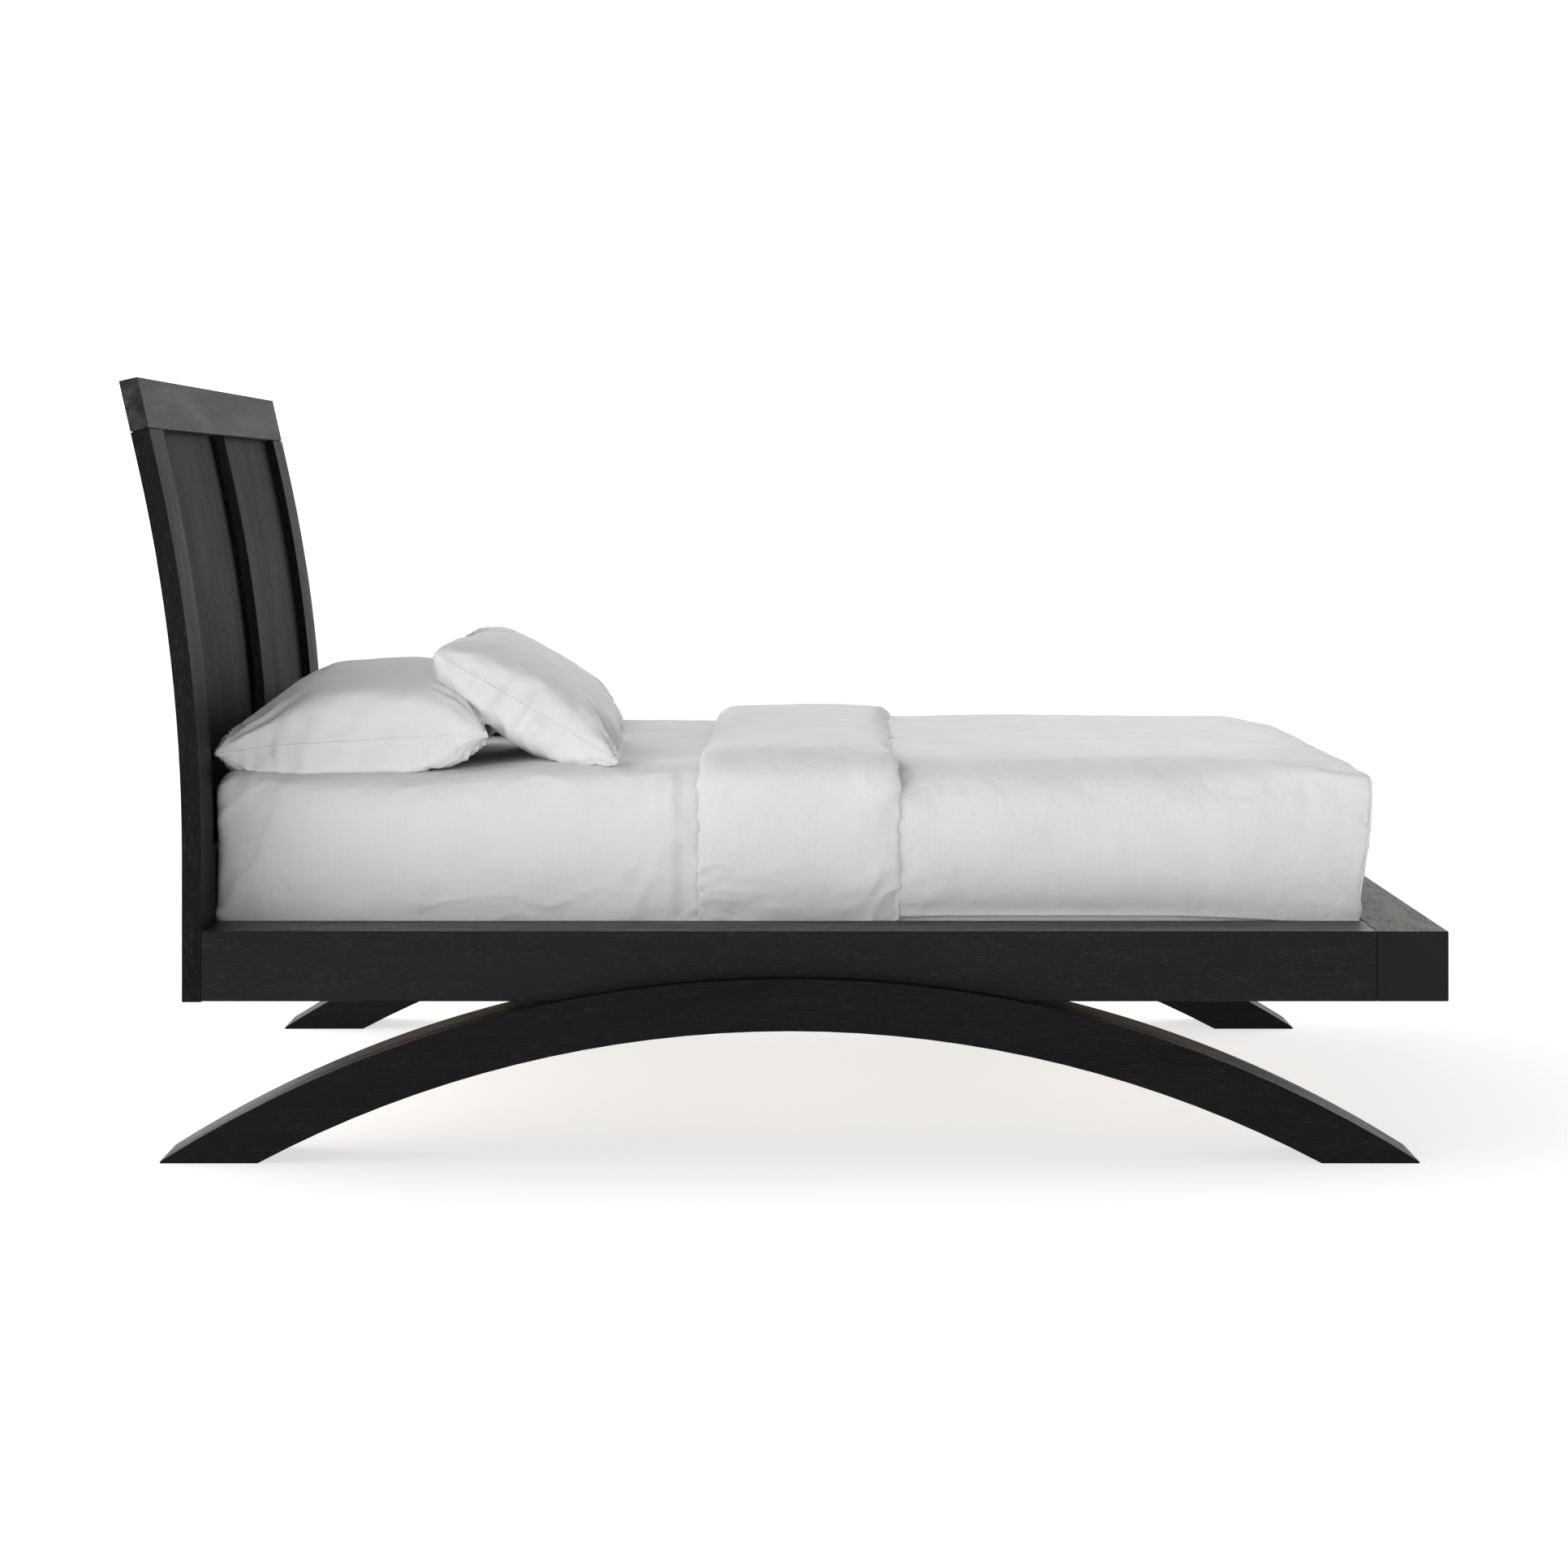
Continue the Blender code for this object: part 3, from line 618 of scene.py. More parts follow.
def grid_box(xs, ys, zs, skip=(), keep=None):
    """Points and quads over a box's faces, on the given stations, without the faces in skip.

    keep(middle) may drop single quads by their middle point.
    """
    lines = (xs, ys, zs)
    index, points, faces = {}, [], []

    def corner(cell):
        if cell not in index:
            index[cell] = len(points)
            points.append([line[i] for line, i in zip(lines, cell)])
        return index[cell]

    for axis in range(3):
        u, v = [i for i in range(3) if i != axis]
        for end, word in ((0, "-"), (len(lines[axis]) - 1, "+")):
            if word + "xyz"[axis] in skip:
                continue
            outward = (end > 0) == (axis != 1)
            for i in range(len(lines[u]) - 1):
                for j in range(len(lines[v]) - 1):
                    quad = []
                    for a, b in ((0, 0), (1, 0), (1, 1), (0, 1)):
                        cell = [0, 0, 0]
                        cell[axis], cell[u], cell[v] = end, i + a, j + b
                        quad.append(tuple(cell))
                    if keep is not None:
                        middle = np.mean([[l[c] for l, c in zip(lines, q)] for q in quad], axis=0)
                        if not keep(middle):
                            continue
                    quad = [corner(q) for q in quad]
                    faces.append(quad if outward else quad[::-1])
    return np.array(points), faces


def round_long_edges(points, low, high, radius):
    """Round a box's edges along X: each point moves within its own YZ plane."""
    reach = np.broadcast_to(np.reshape(radius, (-1, 1)), (len(points), 1))
    core = np.clip(points, np.array(low) + reach, np.array(high) - reach)
    out = (points - core) / reach
    out[:, 0] = 0.0
    length = np.maximum(np.linalg.norm(out, axis=1, keepdims=True), 1e-9)
    moved = core + out / length * np.max(np.abs(out), axis=1, keepdims=True) * reach
    moved[:, 0] = points[:, 0]
    return np.where(np.linalg.norm(out, axis=1, keepdims=True) > 1e-9, moved, points)


def round_end(points, low, high, long_radius, radius, end):
    """Round the edges of a long box's end: end is +1 for the face at high X and -1 for low X."""
    middle = (np.array(low) + np.array(high)) / 2
    long_radius = np.broadcast_to(long_radius, len(points))
    half = (np.array(high) - np.array(low)) / 2
    q = np.abs(points - middle)[:, 1:] - half[1:] + long_radius[:, None]
    outer = np.maximum(q, 0.0)
    outer_length = np.linalg.norm(outer, axis=1)
    inset = long_radius - outer_length - np.minimum(q.max(1), 0.0)
    direction = np.where(outer_length[:, None] > 1e-9,
                         outer / np.maximum(outer_length, 1e-9)[:, None],
                         np.eye(2)[q.argmax(1)])
    direction *= np.sign(points - middle)[:, 1:]
    tip = high[0] if end > 0 else low[0]
    a = np.clip((points[:, 0] - tip) * end + radius, 0.0, radius)
    b = np.clip(radius - inset, 0.0, radius)
    squeeze = np.maximum(a, b) / np.maximum(np.hypot(a, b), 1e-9)
    moved = points.copy()
    moved[:, 0] += end * a * (squeeze - 1)
    moved[:, 1:] += direction * (b * (squeeze - 1))[:, None]
    return np.where(((a > 0) & (b > 0))[:, None], moved, points)


MATTRESS_ROLL = 0.036  # of its long edges
LONG_EDGE = 0.040  # the same for its sheet
PILLOW_DENT = 0.015  # how far the pillows press into the bed


def pillow_weight(points):
    """How much each point of the bed's top is under the flat pillows, from 0 to 1."""
    x, y, z = points.T
    along = smoothstep(x, -0.99, -0.86) * (1 - smoothstep(x, -0.66, -0.42))
    return along * smoothstep(z, 0.52, 0.66) * smoothstep(np.abs(y), 0.05, 0.25)


DUVET_CORNER_CUT = 0.050  # how far its far foot corner is drawn in
UNDER_CORNER_CUT = 0.038  # and the same corner of the mattress and its sheet


def pressed_by_duvet(points, side, top):
    """The mattress's or its sheet's points, pressed in at the sides and top under the duvet."""
    x, y, z = points.T
    share = smoothstep(x, -0.135, -0.085)
    pressed = points.copy()
    pressed[:, 1] -= np.sign(y) * side * share * smoothstep(np.abs(y), 0.60, 0.70)
    pressed[:, 2] -= top * share * smoothstep(z, 0.50, 0.64)
    return pressed


def corner_cut(points, end, half, depth):
    """How far the far foot corner is drawn in along the bed, to make it soft."""
    x, y = points[:, 0], points[:, 1]
    return depth * smoothstep(x, end - 0.05, end) * smoothstep(y, half - 0.14, half) ** 2


def head_slope(points):
    """How far the bed's top has sunk where it rolls over towards the headboard."""
    x, z = points[:, 0], points[:, 2]
    back = 1 - np.clip((x - MATTRESS_LOW.x) / 0.085, 0.0, 1.0)
    return 0.028 * (1 - np.sqrt(1 - 0.98 * back**2)) * smoothstep(z, 0.56, 0.65)


def make_mattress(material):
    low = np.array(MATTRESS_LOW) + (0.003, 0.003, 0.0012)
    high = np.array(MATTRESS_HIGH) - (0.003, 0.003, 0.003)
    points, faces = grid_box(*grid_lines(low, high, [(0.02, 0.12, 0.04)] * 3))
    points = round_long_edges(points, low, high, MATTRESS_ROLL)
    for end in (-1, 1):
        points = round_end(points, low, high, MATTRESS_ROLL, 0.020, end)
    points[:, 2] -= PILLOW_DENT * pillow_weight(points) + head_slope(points)
    points = pressed_by_duvet(points, 0.0125, 0.011)
    points[:, 0] -= corner_cut(points, high[0], high[1], UNDER_CORNER_CUT)
    obj = mesh_object("mattress_body", points, faces, material)
    subdivide(obj)
    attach(obj, "mattress")
    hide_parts("mattress")
    return obj


SHEET_HEM = 0.070  # how far the fitted sheet's elastic hem reaches in under the mattress


def make_fitted_sheet(material):
    """One layer of cotton over the mattress, gathered under it, with slack where it is tucked."""
    low = np.array(MATTRESS_LOW) + (-0.0004, -0.0045, 0.0006)
    high = np.array((MATTRESS_HIGH.x, MATTRESS_HIGH.y + 0.0045, SHEET_TOP))
    rows = ((0.011, 0.017, 0.11), (0.012, 0.036, 0.09), (0.009, 0.011, 0.07))
    inner = (low[0] + SHEET_HEM, high[0] - SHEET_HEM, high[1] - SHEET_HEM)

    def keep(middle):
        under = middle[2] < low[2] + 1e-6
        return not (under and inner[0] < middle[0] < inner[1] and abs(middle[1]) < inner[2])

    points, faces = grid_box(*grid_lines(low, high, rows), keep=keep)
    points = round_long_edges(points, low, high, LONG_EDGE)
    for end, radius in ((-1, 0.020), (1, 0.013)):
        points = round_end(points, low, high, LONG_EDGE, radius, end)
    points[:, 2] -= PILLOW_DENT * pillow_weight(points) + head_slope(points)
    points = pressed_by_duvet(points, 0.0065, 0.011)
    points[:, 0] -= corner_cut(points, high[0], high[1], UNDER_CORNER_CUT)
    obj = mesh_object("fitted_sheet", points, faces, material)
    pins = 1.0 - 0.98 * smoothstep(points[:, 2], RAIL_TOP, RAIL_TOP + 0.02)
    corner = 1 - smoothstep(points[:, 0] - low[0], 0.02, 0.16)
    base = 1 - smoothstep(points[:, 2], RAIL_TOP + 0.02, RAIL_TOP + 0.12)
    loose = 0.15 + 0.85 * np.maximum(corner, base)
    simulate(obj, 10, 0.006, pins, grow=0.012, loose=loose, pressure=0.25, bend=0.4)
    subdivide(obj)
    points = pressed_by_duvet(get_points(obj), 0.006, 0.0)
    set_points(obj, points)
    x, y, z = points.T
    side = smoothstep(np.abs(y), 0.74, 0.76) * smoothstep(z, RAIL_TOP - 0.01, RAIL_TOP + 0.01)
    head = 1 - smoothstep(x, -1.0, -0.80)
    foot = smoothstep(x, -0.34, -0.22)
    base = 1 - smoothstep(z, RAIL_TOP + 0.02, RAIL_TOP + 0.13)
    upper = smoothstep(z, 0.56, 0.64)
    slack = slack_of(points, ripples=((0.0030, (0.24, 0.3, 0.16), 3.1),
                                      (0.0016, (0.09, 0.2, 0.07), 6.4)),
                     folds=((side * base, 0.0036, 0.045, 0.20, 3, 1.3),
                            (side * head, 0.0038, 0.060, 0.16, 66, 5.1),
                            (side * foot, 0.0026, 0.060, 0.18, 78, 7.7),
                            (side * upper, 0.0022, 0.050, 0.12, 24, 2.9)))
    slack -= 0.0058 * side * smoothstep(x, -0.200, -0.180)
    push_out(obj, slack * (1 - smoothstep(x, -0.14, -0.09)))
    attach(obj, "mattress")


DUVET_TOP = DUVET_HIGH.z - 0.0245  # of the cover's own top, below the cuff
DUVET_ROLL = 0.055  # of its long edges
FOOT_ROLL = 0.010  # of the same edges where they reach the boxed foot
FOOT_EDGE = 0.006


def shape_duvet(points, high):
    """From a rounded box to a soft duvet: rolled long edges, a slack foot and tucked hems."""
    x, y, z = points.T
    up = smoothstep(z, RAIL_TOP, RAIL_TOP + 0.22)
    tucked = 1 - smoothstep(z, RAIL_TOP + 0.001, RAIL_TOP + 0.012)
    side = smoothstep(np.abs(y), high[1] - 0.05, high[1])
    foot = smoothstep(x, high[0] - 0.05, high[0])
    away = smoothstep(x, 0.200, 0.265)
    top = smoothstep(z, 0.60, 0.66)
    near_top = smoothstep(np.abs(y), high[1] - 0.22, high[1] - 0.02)
    moved = points.copy()
    moved[:, 2] -= 0.017 * smoothstep(x, high[0] - 0.13, high[0] + 0.02) * top
    moved[:, 2] -= 0.007 * near_top * top
    moved[:, 0] += foot * (0.008 * up - 0.017 * (1 - up))
    cut = corner_cut(points, high[0], high[1], DUVET_CORNER_CUT)
    moved[:, 0] -= cut * smoothstep(z, 0.40, 0.5)
    bulge = 0.0085 * np.sin(np.pi * up) * away - 0.0008 * tucked
    moved[:, 1] += np.sign(y) * side * bulge
    return moved


def beside_ledge(points):
    """The points, with the long hems moved out against the ledges' inner edges."""
    y, z = points[:, 1], points[:, 2]
    share = 1 - smoothstep(z, RAIL_TOP, RAIL_TOP + 0.03)
    share = share * smoothstep(np.abs(y), 0.735, 0.755)
    moved = points.copy()
    moved[:, 1] += np.sign(y) * share * (HALF_RECESS - 0.0012 - np.abs(y))
    return moved


def corner_column(points, x, y):
    """The indices of a box grid's points up one of its upright corners, from the bottom."""
    column = np.nonzero((np.abs(points[:, 0] - x) < 1e-6) & (np.abs(points[:, 1] - y) < 1e-6))[0]
    return column[np.argsort(points[column, 2])]


def make_duvet(material):
    """The duvet's cover over the mattress's foot end, tucked in beside it, with a boxed foot."""
    half = MATTRESS_HIGH.y + 0.0075
    low = np.array((DUVET_LOW.x + 0.020, -half, DUVET_LOW.z + 0.001))
    high = np.array((FOOT_JOINT_X + 0.0115, half, DUVET_TOP))
    rows = ((0.010, 0.018, 0.13), (0.011, 0.040, 0.10), (0.010, 0.011, 0.07))
    points, faces = grid_box(*grid_lines(low, high, rows), skip=("-z", "-x"))
    corners = {word: corner_column(points, high[0], side * high[1]) for word, side in SIDES}
    to_foot = smoothstep(points[:, 0], high[0] - 0.34, high[0])
    roll = DUVET_ROLL - (DUVET_ROLL - FOOT_ROLL) * to_foot
    points = round_long_edges(points, low, high, roll)
    points = round_end(points, low, high, roll, FOOT_EDGE, 1)
    points = shape_duvet(points, high)
    obj = mesh_object("duvet_cover", points, faces, material)
    x, y, z = points.T
    pins = 1.0 - smoothstep(z, RAIL_TOP - 0.002, RAIL_TOP + 0.012)
    pins = np.maximum(pins, 1.0 - smoothstep(x, low[0] + 0.02, low[0] + 0.05))
    foot = smoothstep(x, high[0] - 0.16, high[0])
    cuff = 1 - smoothstep(x, 0.21, 0.33)
    base = 1 - smoothstep(z, RAIL_TOP + 0.01, RAIL_TOP + 0.12)
    side = smoothstep(np.abs(y), 0.70, 0.76)
    loose = np.maximum(0.6 * foot * base, cuff * side * base)
    simulate(obj, 12, 0.008, pins, grow=0.030, loose=loose, pressure=0.25, bend=0.3)
    set_points(obj, beside_ledge(get_points(obj)))
    seams = {word: get_points(obj)[column] for word, column in corners.items()}
    thicken(obj, 0.004)
    subdivide(obj)
    points = get_points(obj)
    x, y, z = points.T
    side = smoothstep(np.abs(y), 0.735, 0.765)
    foot_face = smoothstep(x, high[0] - 0.03, high[0] - 0.01)
    from_corner = np.where(side > foot_face, high[0] + 0.004 - x, high[1] - np.abs(y))
    lower = 1 - smoothstep(z, RAIL_TOP + 0.02, RAIL_TOP + 0.15)
    by_cuff = 1 - smoothstep(x, 0.22, 0.36)
    by_foot = smoothstep(x, 0.88, 1.0)
    slack = slack_of(points, ripples=((0.0034, (0.26, 0.26, 0.13), 1.7),
                                      (0.0016, (0.09, 0.12, 0.06), 4.7)),
                     folds=((side * by_cuff * lower, 0.0034, 0.055, 0.10, 34, 2.2),
                            (side * by_cuff, 0.0030, 0.055, 0.10, 64, 6.1),
                            (side * by_foot * lower, 0.0045, 0.050, 0.12, -42, 8.8)))
    at_seam = np.maximum(side, foot_face)
    slack += 0.0034 * puckers(np.abs(from_corner), z, 0.018, 0.018, 3.3) * at_seam
    slack -= side * by_cuff * 0.0040 * (1 - lower)
    push_out(obj, slack * smoothstep(z, RAIL_TOP - 0.002, RAIL_TOP + 0.018))
    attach(obj, "duvet")
    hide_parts("duvet")
    for word, seam in seams.items():
        above = seam[(seam[:, 2] > RAIL_TOP + 0.004) & (seam[:, 2] < 0.645)]
        cord = seam_cord("duvet_corner_seam_" + word, above, 0.0018, material)
        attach(cord, "duvet")


def across_path(half, bottom, top, radius, spacing):
    """Points (y, z) and outward directions from one side's bottom, over the bed, to the other's."""
    up = np.arange(bottom, top - radius, spacing)
    turn = np.linspace(0, math.pi / 2, max(int(radius * 1.6 / spacing), 5))
    over = np.linspace(half - radius, -(half - radius), int((half - radius) / spacing))
    path = [((half, z), (1, 0)) for z in up]
    path += [((half - radius + radius * math.cos(a), top - radius + radius * math.sin(a)),
              (math.cos(a), math.sin(a))) for a in turn]
    path += [((y, top), (0, 1)) for y in over[1:-1]]
    path += [((-(half - radius) - radius * math.sin(a), top - radius + radius * math.cos(a)),
              (-math.sin(a), math.cos(a))) for a in turn]
    path += [((-half, z), (-1, 0)) for z in up[::-1]]
    return np.array([p for p, _ in path]), np.array([d for _, d in path])


CUFF_RING = 44  # points round the cuff's section
CUFF_LENGTH = 0.357


def signed_power(value, power):
    return math.copysign(abs(value) ** power, value)


def make_cuff(material):
    """The duvet's top edge, folded back over it: a padded band round the mattress."""
    half_inside = MATTRESS_HIGH.y + 0.0060
    path, out = across_path(half_inside, DUVET_LOW.z + 0.002, SHEET_TOP + 0.0008, 0.040, 0.0115)
    turn = np.linspace(0, 2 * math.pi, CUFF_RING, endpoint=False)
    points, pins, loose = [], [], []
    left = DUVET_LOW.x + 0.001
    for (y, z), (dy, dz) in zip(path, out):
        top = smoothstep(z, 0.60, 0.665)
        tuck = smoothstep(z, RAIL_TOP - 0.006, RAIL_TOP + 0.085)
        low_part = 1 - smoothstep(z, RAIL_TOP + 0.02, RAIL_TOP + 0.13)
        x0 = left + 0.0045 * (1 + y / half_inside) * top
        x1 = left + CUFF_LENGTH + 0.012 * (1 + y / half_inside)
        middle, half = (x0 + x1) / 2, (x1 - x0) / 2
        depth = -0.001 + 0.021 * tuck**0.7 + 0.0095 * top
        for a in turn:
            c, s = math.cos(a), math.sin(a)
            across = signed_power(c, 0.34)
            rise = signed_power(s, 0.70)
            plump = 1.04 + 0.10 * across * top - 0.06 * across * across
            height = depth * (0.5 + 0.5 * rise * plump)
            points.append((middle + half * across, y + dy * height, z + dz * height))
            held = 1.0 if s < -0.25 else 0.0
            pins.append(max(held, 1.0 - smoothstep(z, RAIL_TOP - 0.002, RAIL_TOP + 0.010)))
            loose.append(0.25 + 0.75 * low_part)
    rings = len(path)
    faces = [[i * CUFF_RING + j, i * CUFF_RING + (j + 1) % CUFF_RING,
              (i + 1) * CUFF_RING + (j + 1) % CUFF_RING, (i + 1) * CUFF_RING + j]
             for i in range(rings - 1) for j in range(CUFF_RING)]
    faces.append(list(range(CUFF_RING))[::-1])
    faces.append([(rings - 1) * CUFF_RING + j for j in range(CUFF_RING)])
    obj = mesh_object("duvet_cuff", points, faces, material)
    simulate(obj, 12, 0.010, pins, grow=0.035, loose=loose, pressure=0.8, bend=0.10)
    subdivide(obj)
    points = get_points(obj)
    x, y, z = points.T
    side = smoothstep(np.abs(y), 0.74, 0.77)
    lower = 1 - smoothstep(z, RAIL_TOP + 0.05, RAIL_TOP + 0.19)
    right = smoothstep(x, left + 0.08, left + 0.22)
    along = np.where(side > 0.5, z, y)
    from_edge = np.minimum(np.abs(x - left), np.abs(x - left - CUFF_LENGTH))
    slack = slack_of(points, ripples=((0.0032, (0.14, 0.3, 0.16), 6.7),
                                      (0.0016, (0.05, 0.3, 0.07), 2.2)),
                     folds=((side * lower * (0.4 + 0.6 * right), 0.0032, 0.055, 0.15, 38, 3.6),
                            (side * lower, 0.0036, 0.045, 0.12, 8, 9.4),
                            (side * (1 - lower), 0.0016, 0.050, 0.16, 86, 1.1)))
    slack += 0.0050 * puckers(from_edge, along, 0.012, 0.026, 5.9)
    push_out(obj, slack)
    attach(obj, "duvet")


# ---- pillows ----

CASE_WIDTH = 0.50  # of the stuffed case, along the bed
CASE_LENGTH = 0.68  # and across it
CASE_LOFT = 0.085  # of each face, before it is blown up
CASE_CELLS = (52, 70)


def blown_pillow(material):
    """Two faces sewn together round the edge and blown up, centred on the origin.

    Returns the object and the indices of the seam's points, in order round the edge.
    """
    cells_x, cells_y = CASE_CELLS
    points, faces = [], []
    index = {}
    for side in (1, -1):
        for i in range(cells_x + 1):
            for j in range(cells_y + 1):
                edge = i in (0, cells_x) or j in (0, cells_y)
                key = (i, j) if edge else (i, j, side)
                if key in index:
                    continue
                u, v = 2 * i / cells_x - 1, 2 * j / cells_y - 1
                index[key] = len(points)
                crown = 0.0 if edge else ((1 - abs(u) ** 2.2) * (1 - abs(v) ** 3.0)) ** 0.65
                points.append((CASE_WIDTH / 2 * u * (1 - 0.05 * (1 - v * v)),
                               CASE_LENGTH / 2 * v * (1 - 0.03 * (1 - u * u)),
                               side * CASE_LOFT * crown))
    for side in (1, -1):
        for i in range(cells_x):
            for j in range(cells_y):
                quad = []
                for a, b in ((0, 0), (1, 0), (1, 1), (0, 1)):
                    key = (i + a, j + b)
                    quad.append(index[key] if key in index else index[(*key, side)])
                faces.append(quad if side > 0 else quad[::-1])
    obj = mesh_object("pillow_pattern", points, faces, material)
    simulate(obj, 16, 0.25, grow=0.03, pressure=2.0)
    subdivide(obj)
    seam = [(i, 0) for i in range(cells_x)] + [(cells_x, j) for j in range(cells_y)]
    seam += [(i, cells_y) for i in range(cells_x, 0, -1)] + [(0, j) for j in range(cells_y, 0, -1)]
    return obj, [index[key] for key in seam]


def lift_out(depth, soft):
    """How far to move a point that is depth above a surface (or -depth below), softly."""
    return np.maximum(soft * np.logaddexp(0.0, depth / soft) - depth, 0.0)


def keep_above(points, place, normal):
    """Push points out of the half space below a plane, as a pillow flattens on it."""
    normal = np.array(normal, float) / np.linalg.norm(normal)
    return points + np.outer(lift_out((points - np.array(place)) @ normal, 0.006), normal)


def keep_on_bed(points):
    """Keep points above the sheet: its flat top, and the roll along its sides."""
    over = np.clip(np.abs(points[:, 1]) - (MATTRESS_HIGH.y + 0.0045 - LONG_EDGE), 0.0, LONG_EDGE)
    surface = SHEET_TOP - LONG_EDGE + np.sqrt(LONG_EDGE**2 - over**2 + 1e-6)
    surface -= PILLOW_DENT * pillow_weight(points * (1, 1, 0) + (0, 0, SHEET_TOP))
    moved = points.copy()
    moved[:, 2] += lift_out(points[:, 2] - surface, 0.004)
    return moved


def loft(points, rise, drop, top_power, under_power):
    """Set a pillow's height above and below its seam, and how boxy each face is."""
    z = points[:, 2]
    share = np.abs(z) / np.abs(z).max()
    soft = 0.03
    boxy = ((share + soft) ** under_power - soft**under_power) / (
        (1 + soft) ** under_power - soft**under_power)
    return np.where(z > 0, rise * share**top_power, -drop * boxy)


def pillow_folds(points, seed, deep):
    """Heights of the folds that fan out from the corners and of the gathers beside the seam.

    deep is how deep the fan is at each corner, in the order below.
    """
    half = np.abs(points).max(0)
    u, v = points[:, 0] / half[0], points[:, 1] / half[1]
    height = 0.0040 * ripple(points, (0.11, 0.15, 0.11), seed)
    height += 0.0014 * ripple(points, (0.035, 0.05, 0.035), seed + 20)
    for k, (cu, cv) in enumerate(((-1, -1), (1, -1), (1, 1), (-1, 1))):
        dx, dy = points[:, 0] - cu * half[0], points[:, 1] - cv * half[1]
        distance = np.hypot(dx, dy)
        angle = np.arctan2(-cv * dy, -cu * dx)
        fan = np.column_stack([angle * 6.5, distance * 5, np.full(len(u), seed + 3 * k)])
        height += deep[k] * noise_at(fan) * np.exp(-((distance - 0.07) / 0.080) ** 2)
    to_end, to_side = (1 - np.abs(v)) * half[1], (1 - np.abs(u)) * half[0]
    over = np.where(points[:, 2] > 0, 1.0, 8.0)
    height += 0.0050 * puckers(to_end, points[:, 0] + over, 0.030, 0.030, seed)
    height += 0.0045 * puckers(to_side, points[:, 1] + over, 0.026, 0.034, seed + 1)
    sag = np.where(points[:, 2] < 0, 1.0, 0.25) * np.exp(-((to_end - 0.05) / 0.06) ** 2)
    height += 0.0072 * sag * creases(points, 0.070, 0.14, 50, seed + 2, plane=(0, 1))
    height += 0.0026 * sag * creases(points, 0.036, 0.12, 62, seed + 7, plane=(0, 1))
    near_seam = np.exp(-np.minimum(to_end, to_side) / 0.004)
    return height * (1 - 0.85 * near_seam)


def scaled_to(points, width, length, turned_round):
    """A centred copy of the pillow at a width and length, turned end for end if asked."""
    low, high = points.min(0), points.max(0)
    moved = points - (low + high) / 2
    moved[:, 0] *= width / (high[0] - low[0])
    moved[:, 1] *= length / (high[1] - low[1])
    if turned_round:
        moved[:, :2] *= -1
    return moved


def finish_pillow(name, node, pattern, seam, points, material, seed, deep):
    obj = new_object(name, pattern.data.copy())
    set_points(obj, points)
    push_out(obj, pillow_folds(get_points(pattern), seed, deep))
    cord = seam_cord(name + "_seam", get_points(obj)[seam], 0.0011, material, closed=True)
    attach(obj, node)
    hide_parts(node)
    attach(cord, node)


FLAT_PILLOW_SPAN = (-1.0085, -0.5235)  # its corners' X
FLAT_PILLOW_TILT = 0.060
FLAT_PILLOW_SEAM = 0.7045
FLAT_RISE = {"left": 0.096, "right": 0.134}  # of the top face over the seam
# (x, z) of each leaning pillow's upper and lower corners
LEAN_HEAD = {"left": Vector((-0.637, 0.845)), "right": Vector((-0.620, 0.868))}
LEAN_FOOT = {"left": Vector((-0.348, 0.688)), "right": Vector((-0.293, 0.674))}
LEAN_SKEW = {"left": -0.020, "right": -0.036}  # how far the lower edge turns, over its length
LEAN_ON = {"left": 0.742, "right": 0.764}  # height of the slope that each rests on
LEAN_RISE = {"left": 0.058, "right": 0.090}
LEAN_DROP = 0.088
# how deep the folds are at each corner, in the order of pillow_folds
FLAT_FAN = (0.022, 0.014, 0.014, 0.022)
LEAN_FAN = {"left": (0.008, 0.020, 0.020, 0.008), "right": (0.020, 0.008, 0.008, 0.020)}


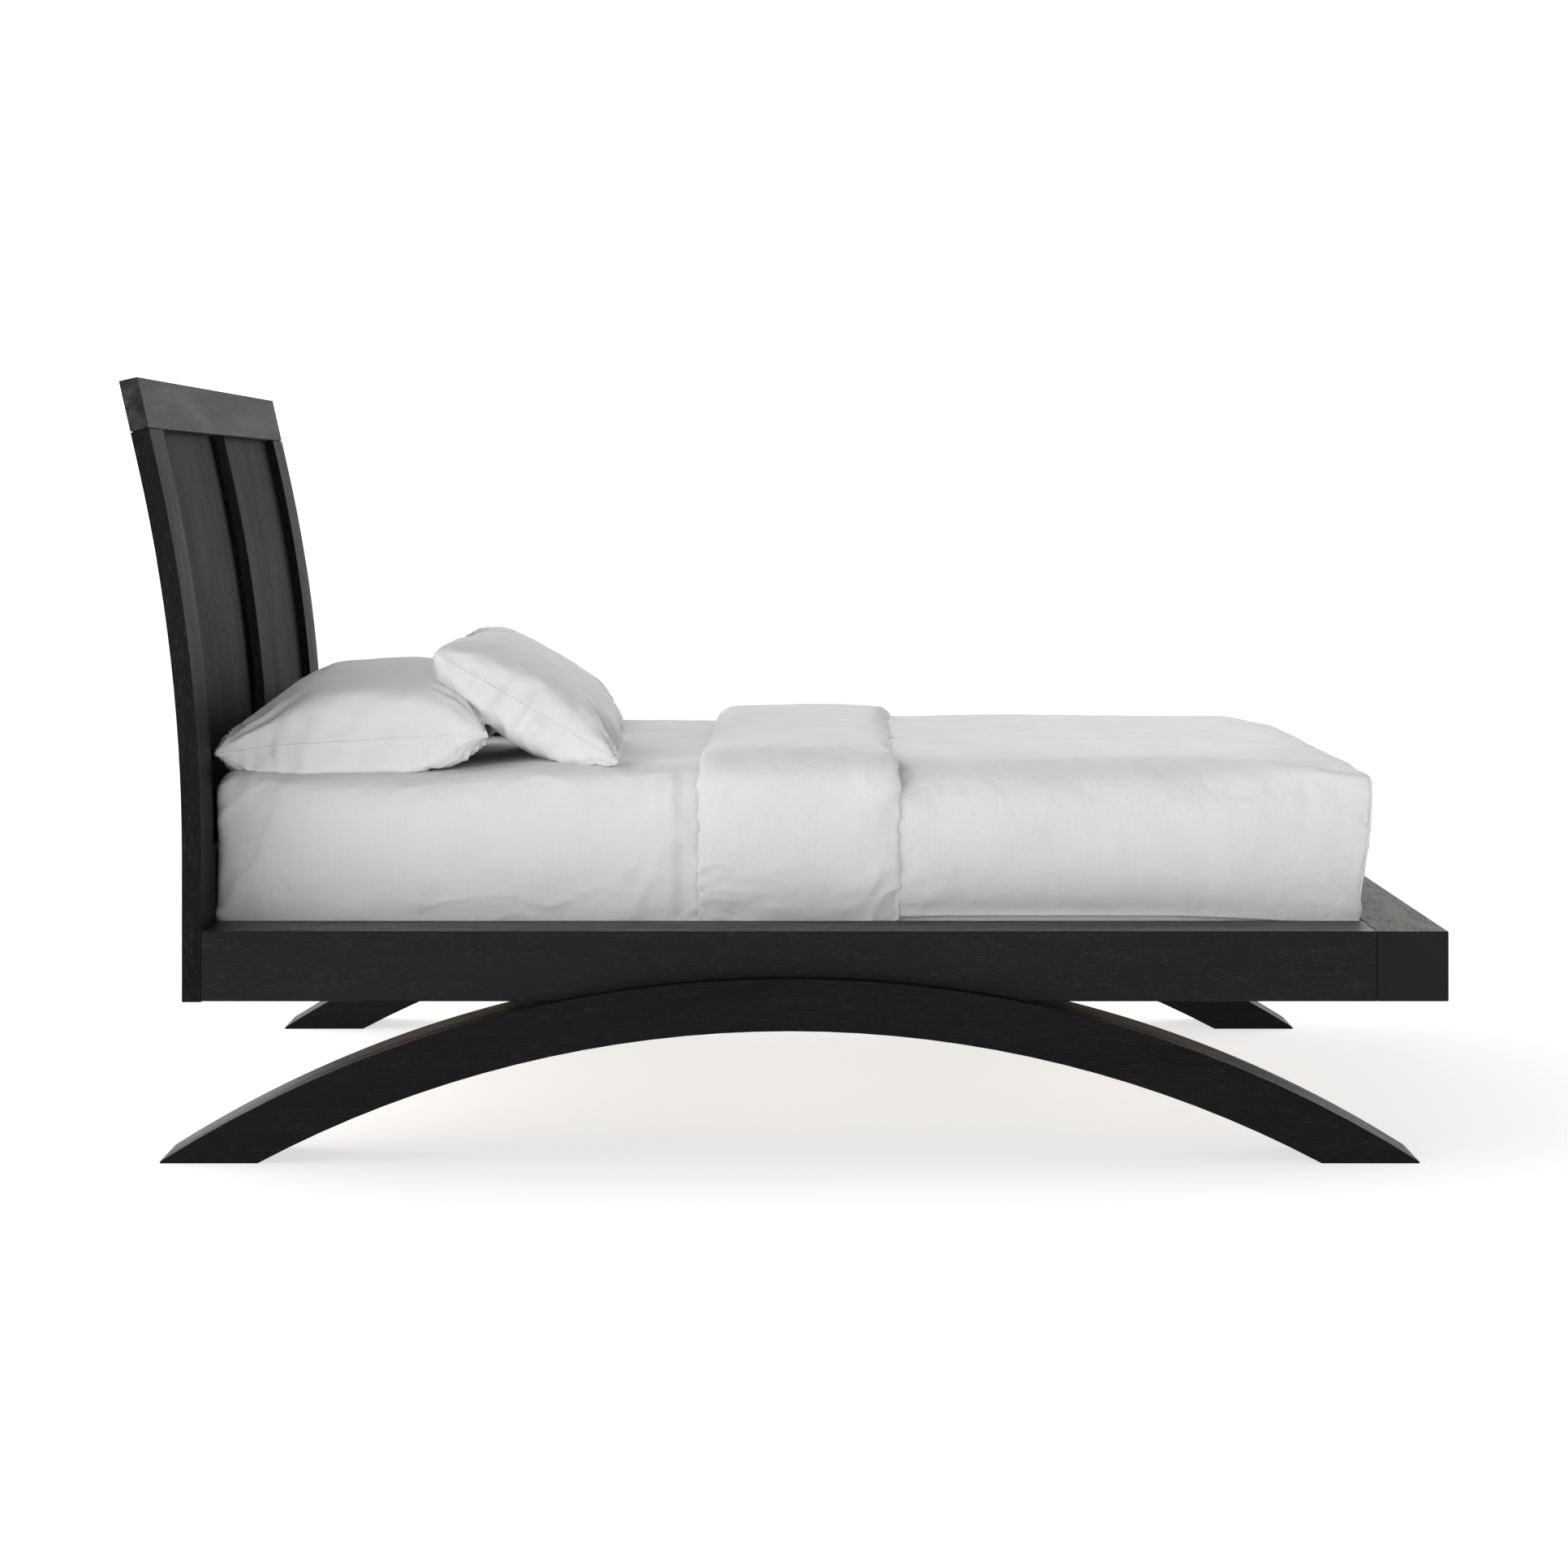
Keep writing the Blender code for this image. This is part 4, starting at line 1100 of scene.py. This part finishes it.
def make_flat_pillow(pattern, seam, word, side, material):
    node = "pillow_flat_" + word
    low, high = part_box(node)
    points = scaled_to(get_points(pattern), FLAT_PILLOW_SPAN[1] - FLAT_PILLOW_SPAN[0],
                       high.y - low.y, side > 0)
    u = points[:, 0] / np.abs(points[:, 0]).max()
    corner = smoothstep(np.abs(u), 0.70, 1.0)
    points[:, 2] = loft(points, FLAT_RISE[word], 0.066, 0.74, 0.50 + 0.5 * corner)
    points[:, 2] *= 1 - 0.36 * smoothstep(-u, 0.20, 0.90) * (points[:, 2] > 0)
    points[:, 2] += FLAT_PILLOW_TILT * points[:, 0] + 0.006 * (1 - u**4)
    points += (sum(FLAT_PILLOW_SPAN) / 2, (low.y + high.y) / 2, FLAT_PILLOW_SEAM)
    outer_end = smoothstep(np.abs(points[:, 1]), 0.64, 0.75)
    under = smoothstep(FLAT_PILLOW_SEAM - points[:, 2], 0.0, 0.04) * (1 - corner)
    points[:, 2] -= 0.024 * outer_end * under
    points[:, 1] += side * 0.010 * outer_end * under
    finish_pillow("flat_pillow_" + word, node, pattern, seam, keep_on_bed(points), material,
                  2.0 + side, FLAT_FAN)


def make_leaning_pillow(pattern, seam, word, side, material):
    node = "pillow_leaning_" + word
    low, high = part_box(node)
    lean = LEAN_FOOT[word] - LEAN_HEAD[word]
    points = scaled_to(get_points(pattern), lean.length, high.y - low.y, side < 0)
    u = points[:, 0] / (lean.length / 2)
    points[:, 2] = loft(points, LEAN_RISE[word], LEAN_DROP, 0.84, 0.8)
    points[:, 2] *= 1 - 0.05 * u
    along, up = lean.normalized(), Vector((-lean.y, lean.x)).normalized()
    middle = (LEAN_HEAD[word] + LEAN_FOOT[word]) / 2
    x, z = points[:, 0].copy(), points[:, 2].copy()
    points[:, 0] = middle.x + x * along.x + z * up.x
    points[:, 2] = middle.y + x * along.y + z * up.y
    points[:, 1] += (low.y + high.y) / 2
    points[:, 0] += LEAN_SKEW[word] * (points[:, 1] - low.y) * (1 + u) / 2
    points = keep_above(points, (-0.5635, 0, LEAN_ON[word]), (1, 0, 1))
    finish_pillow("leaning_pillow_" + word, node, pattern, seam, keep_on_bed(points), material,
                  11.0 + side, LEAN_FAN[word])


def dress_bed():
    sheet_cotton = cotton("sheet_cotton", (0.78, 0.78, 0.775), (0.74, 0.74, 0.74), 0.9)
    duvet_cotton = cotton("duvet_cotton", (0.75, 0.75, 0.76), (0.715, 0.715, 0.73))
    pillow_cotton = cotton("pillow_cotton", (0.78, 0.78, 0.775), (0.74, 0.74, 0.74), 0.8)
    body = make_mattress(ticking())
    make_fitted_sheet(sheet_cotton)
    make_duvet(duvet_cotton)
    make_cuff(duvet_cotton)
    pattern, seam = blown_pillow(pillow_cotton)
    for word, side in SIDES:
        make_flat_pillow(pattern, seam, word, side, pillow_cotton)
        make_leaning_pillow(pattern, seam, word, side, pillow_cotton)
    bpy.data.objects.remove(pattern, do_unlink=True)


SCENE.view_settings.view_transform = "Standard"
make_camera()
make_world()
make_low_fill()
make_stage()
dress_frame()
dress_hidden_nodes()
dress_bed()
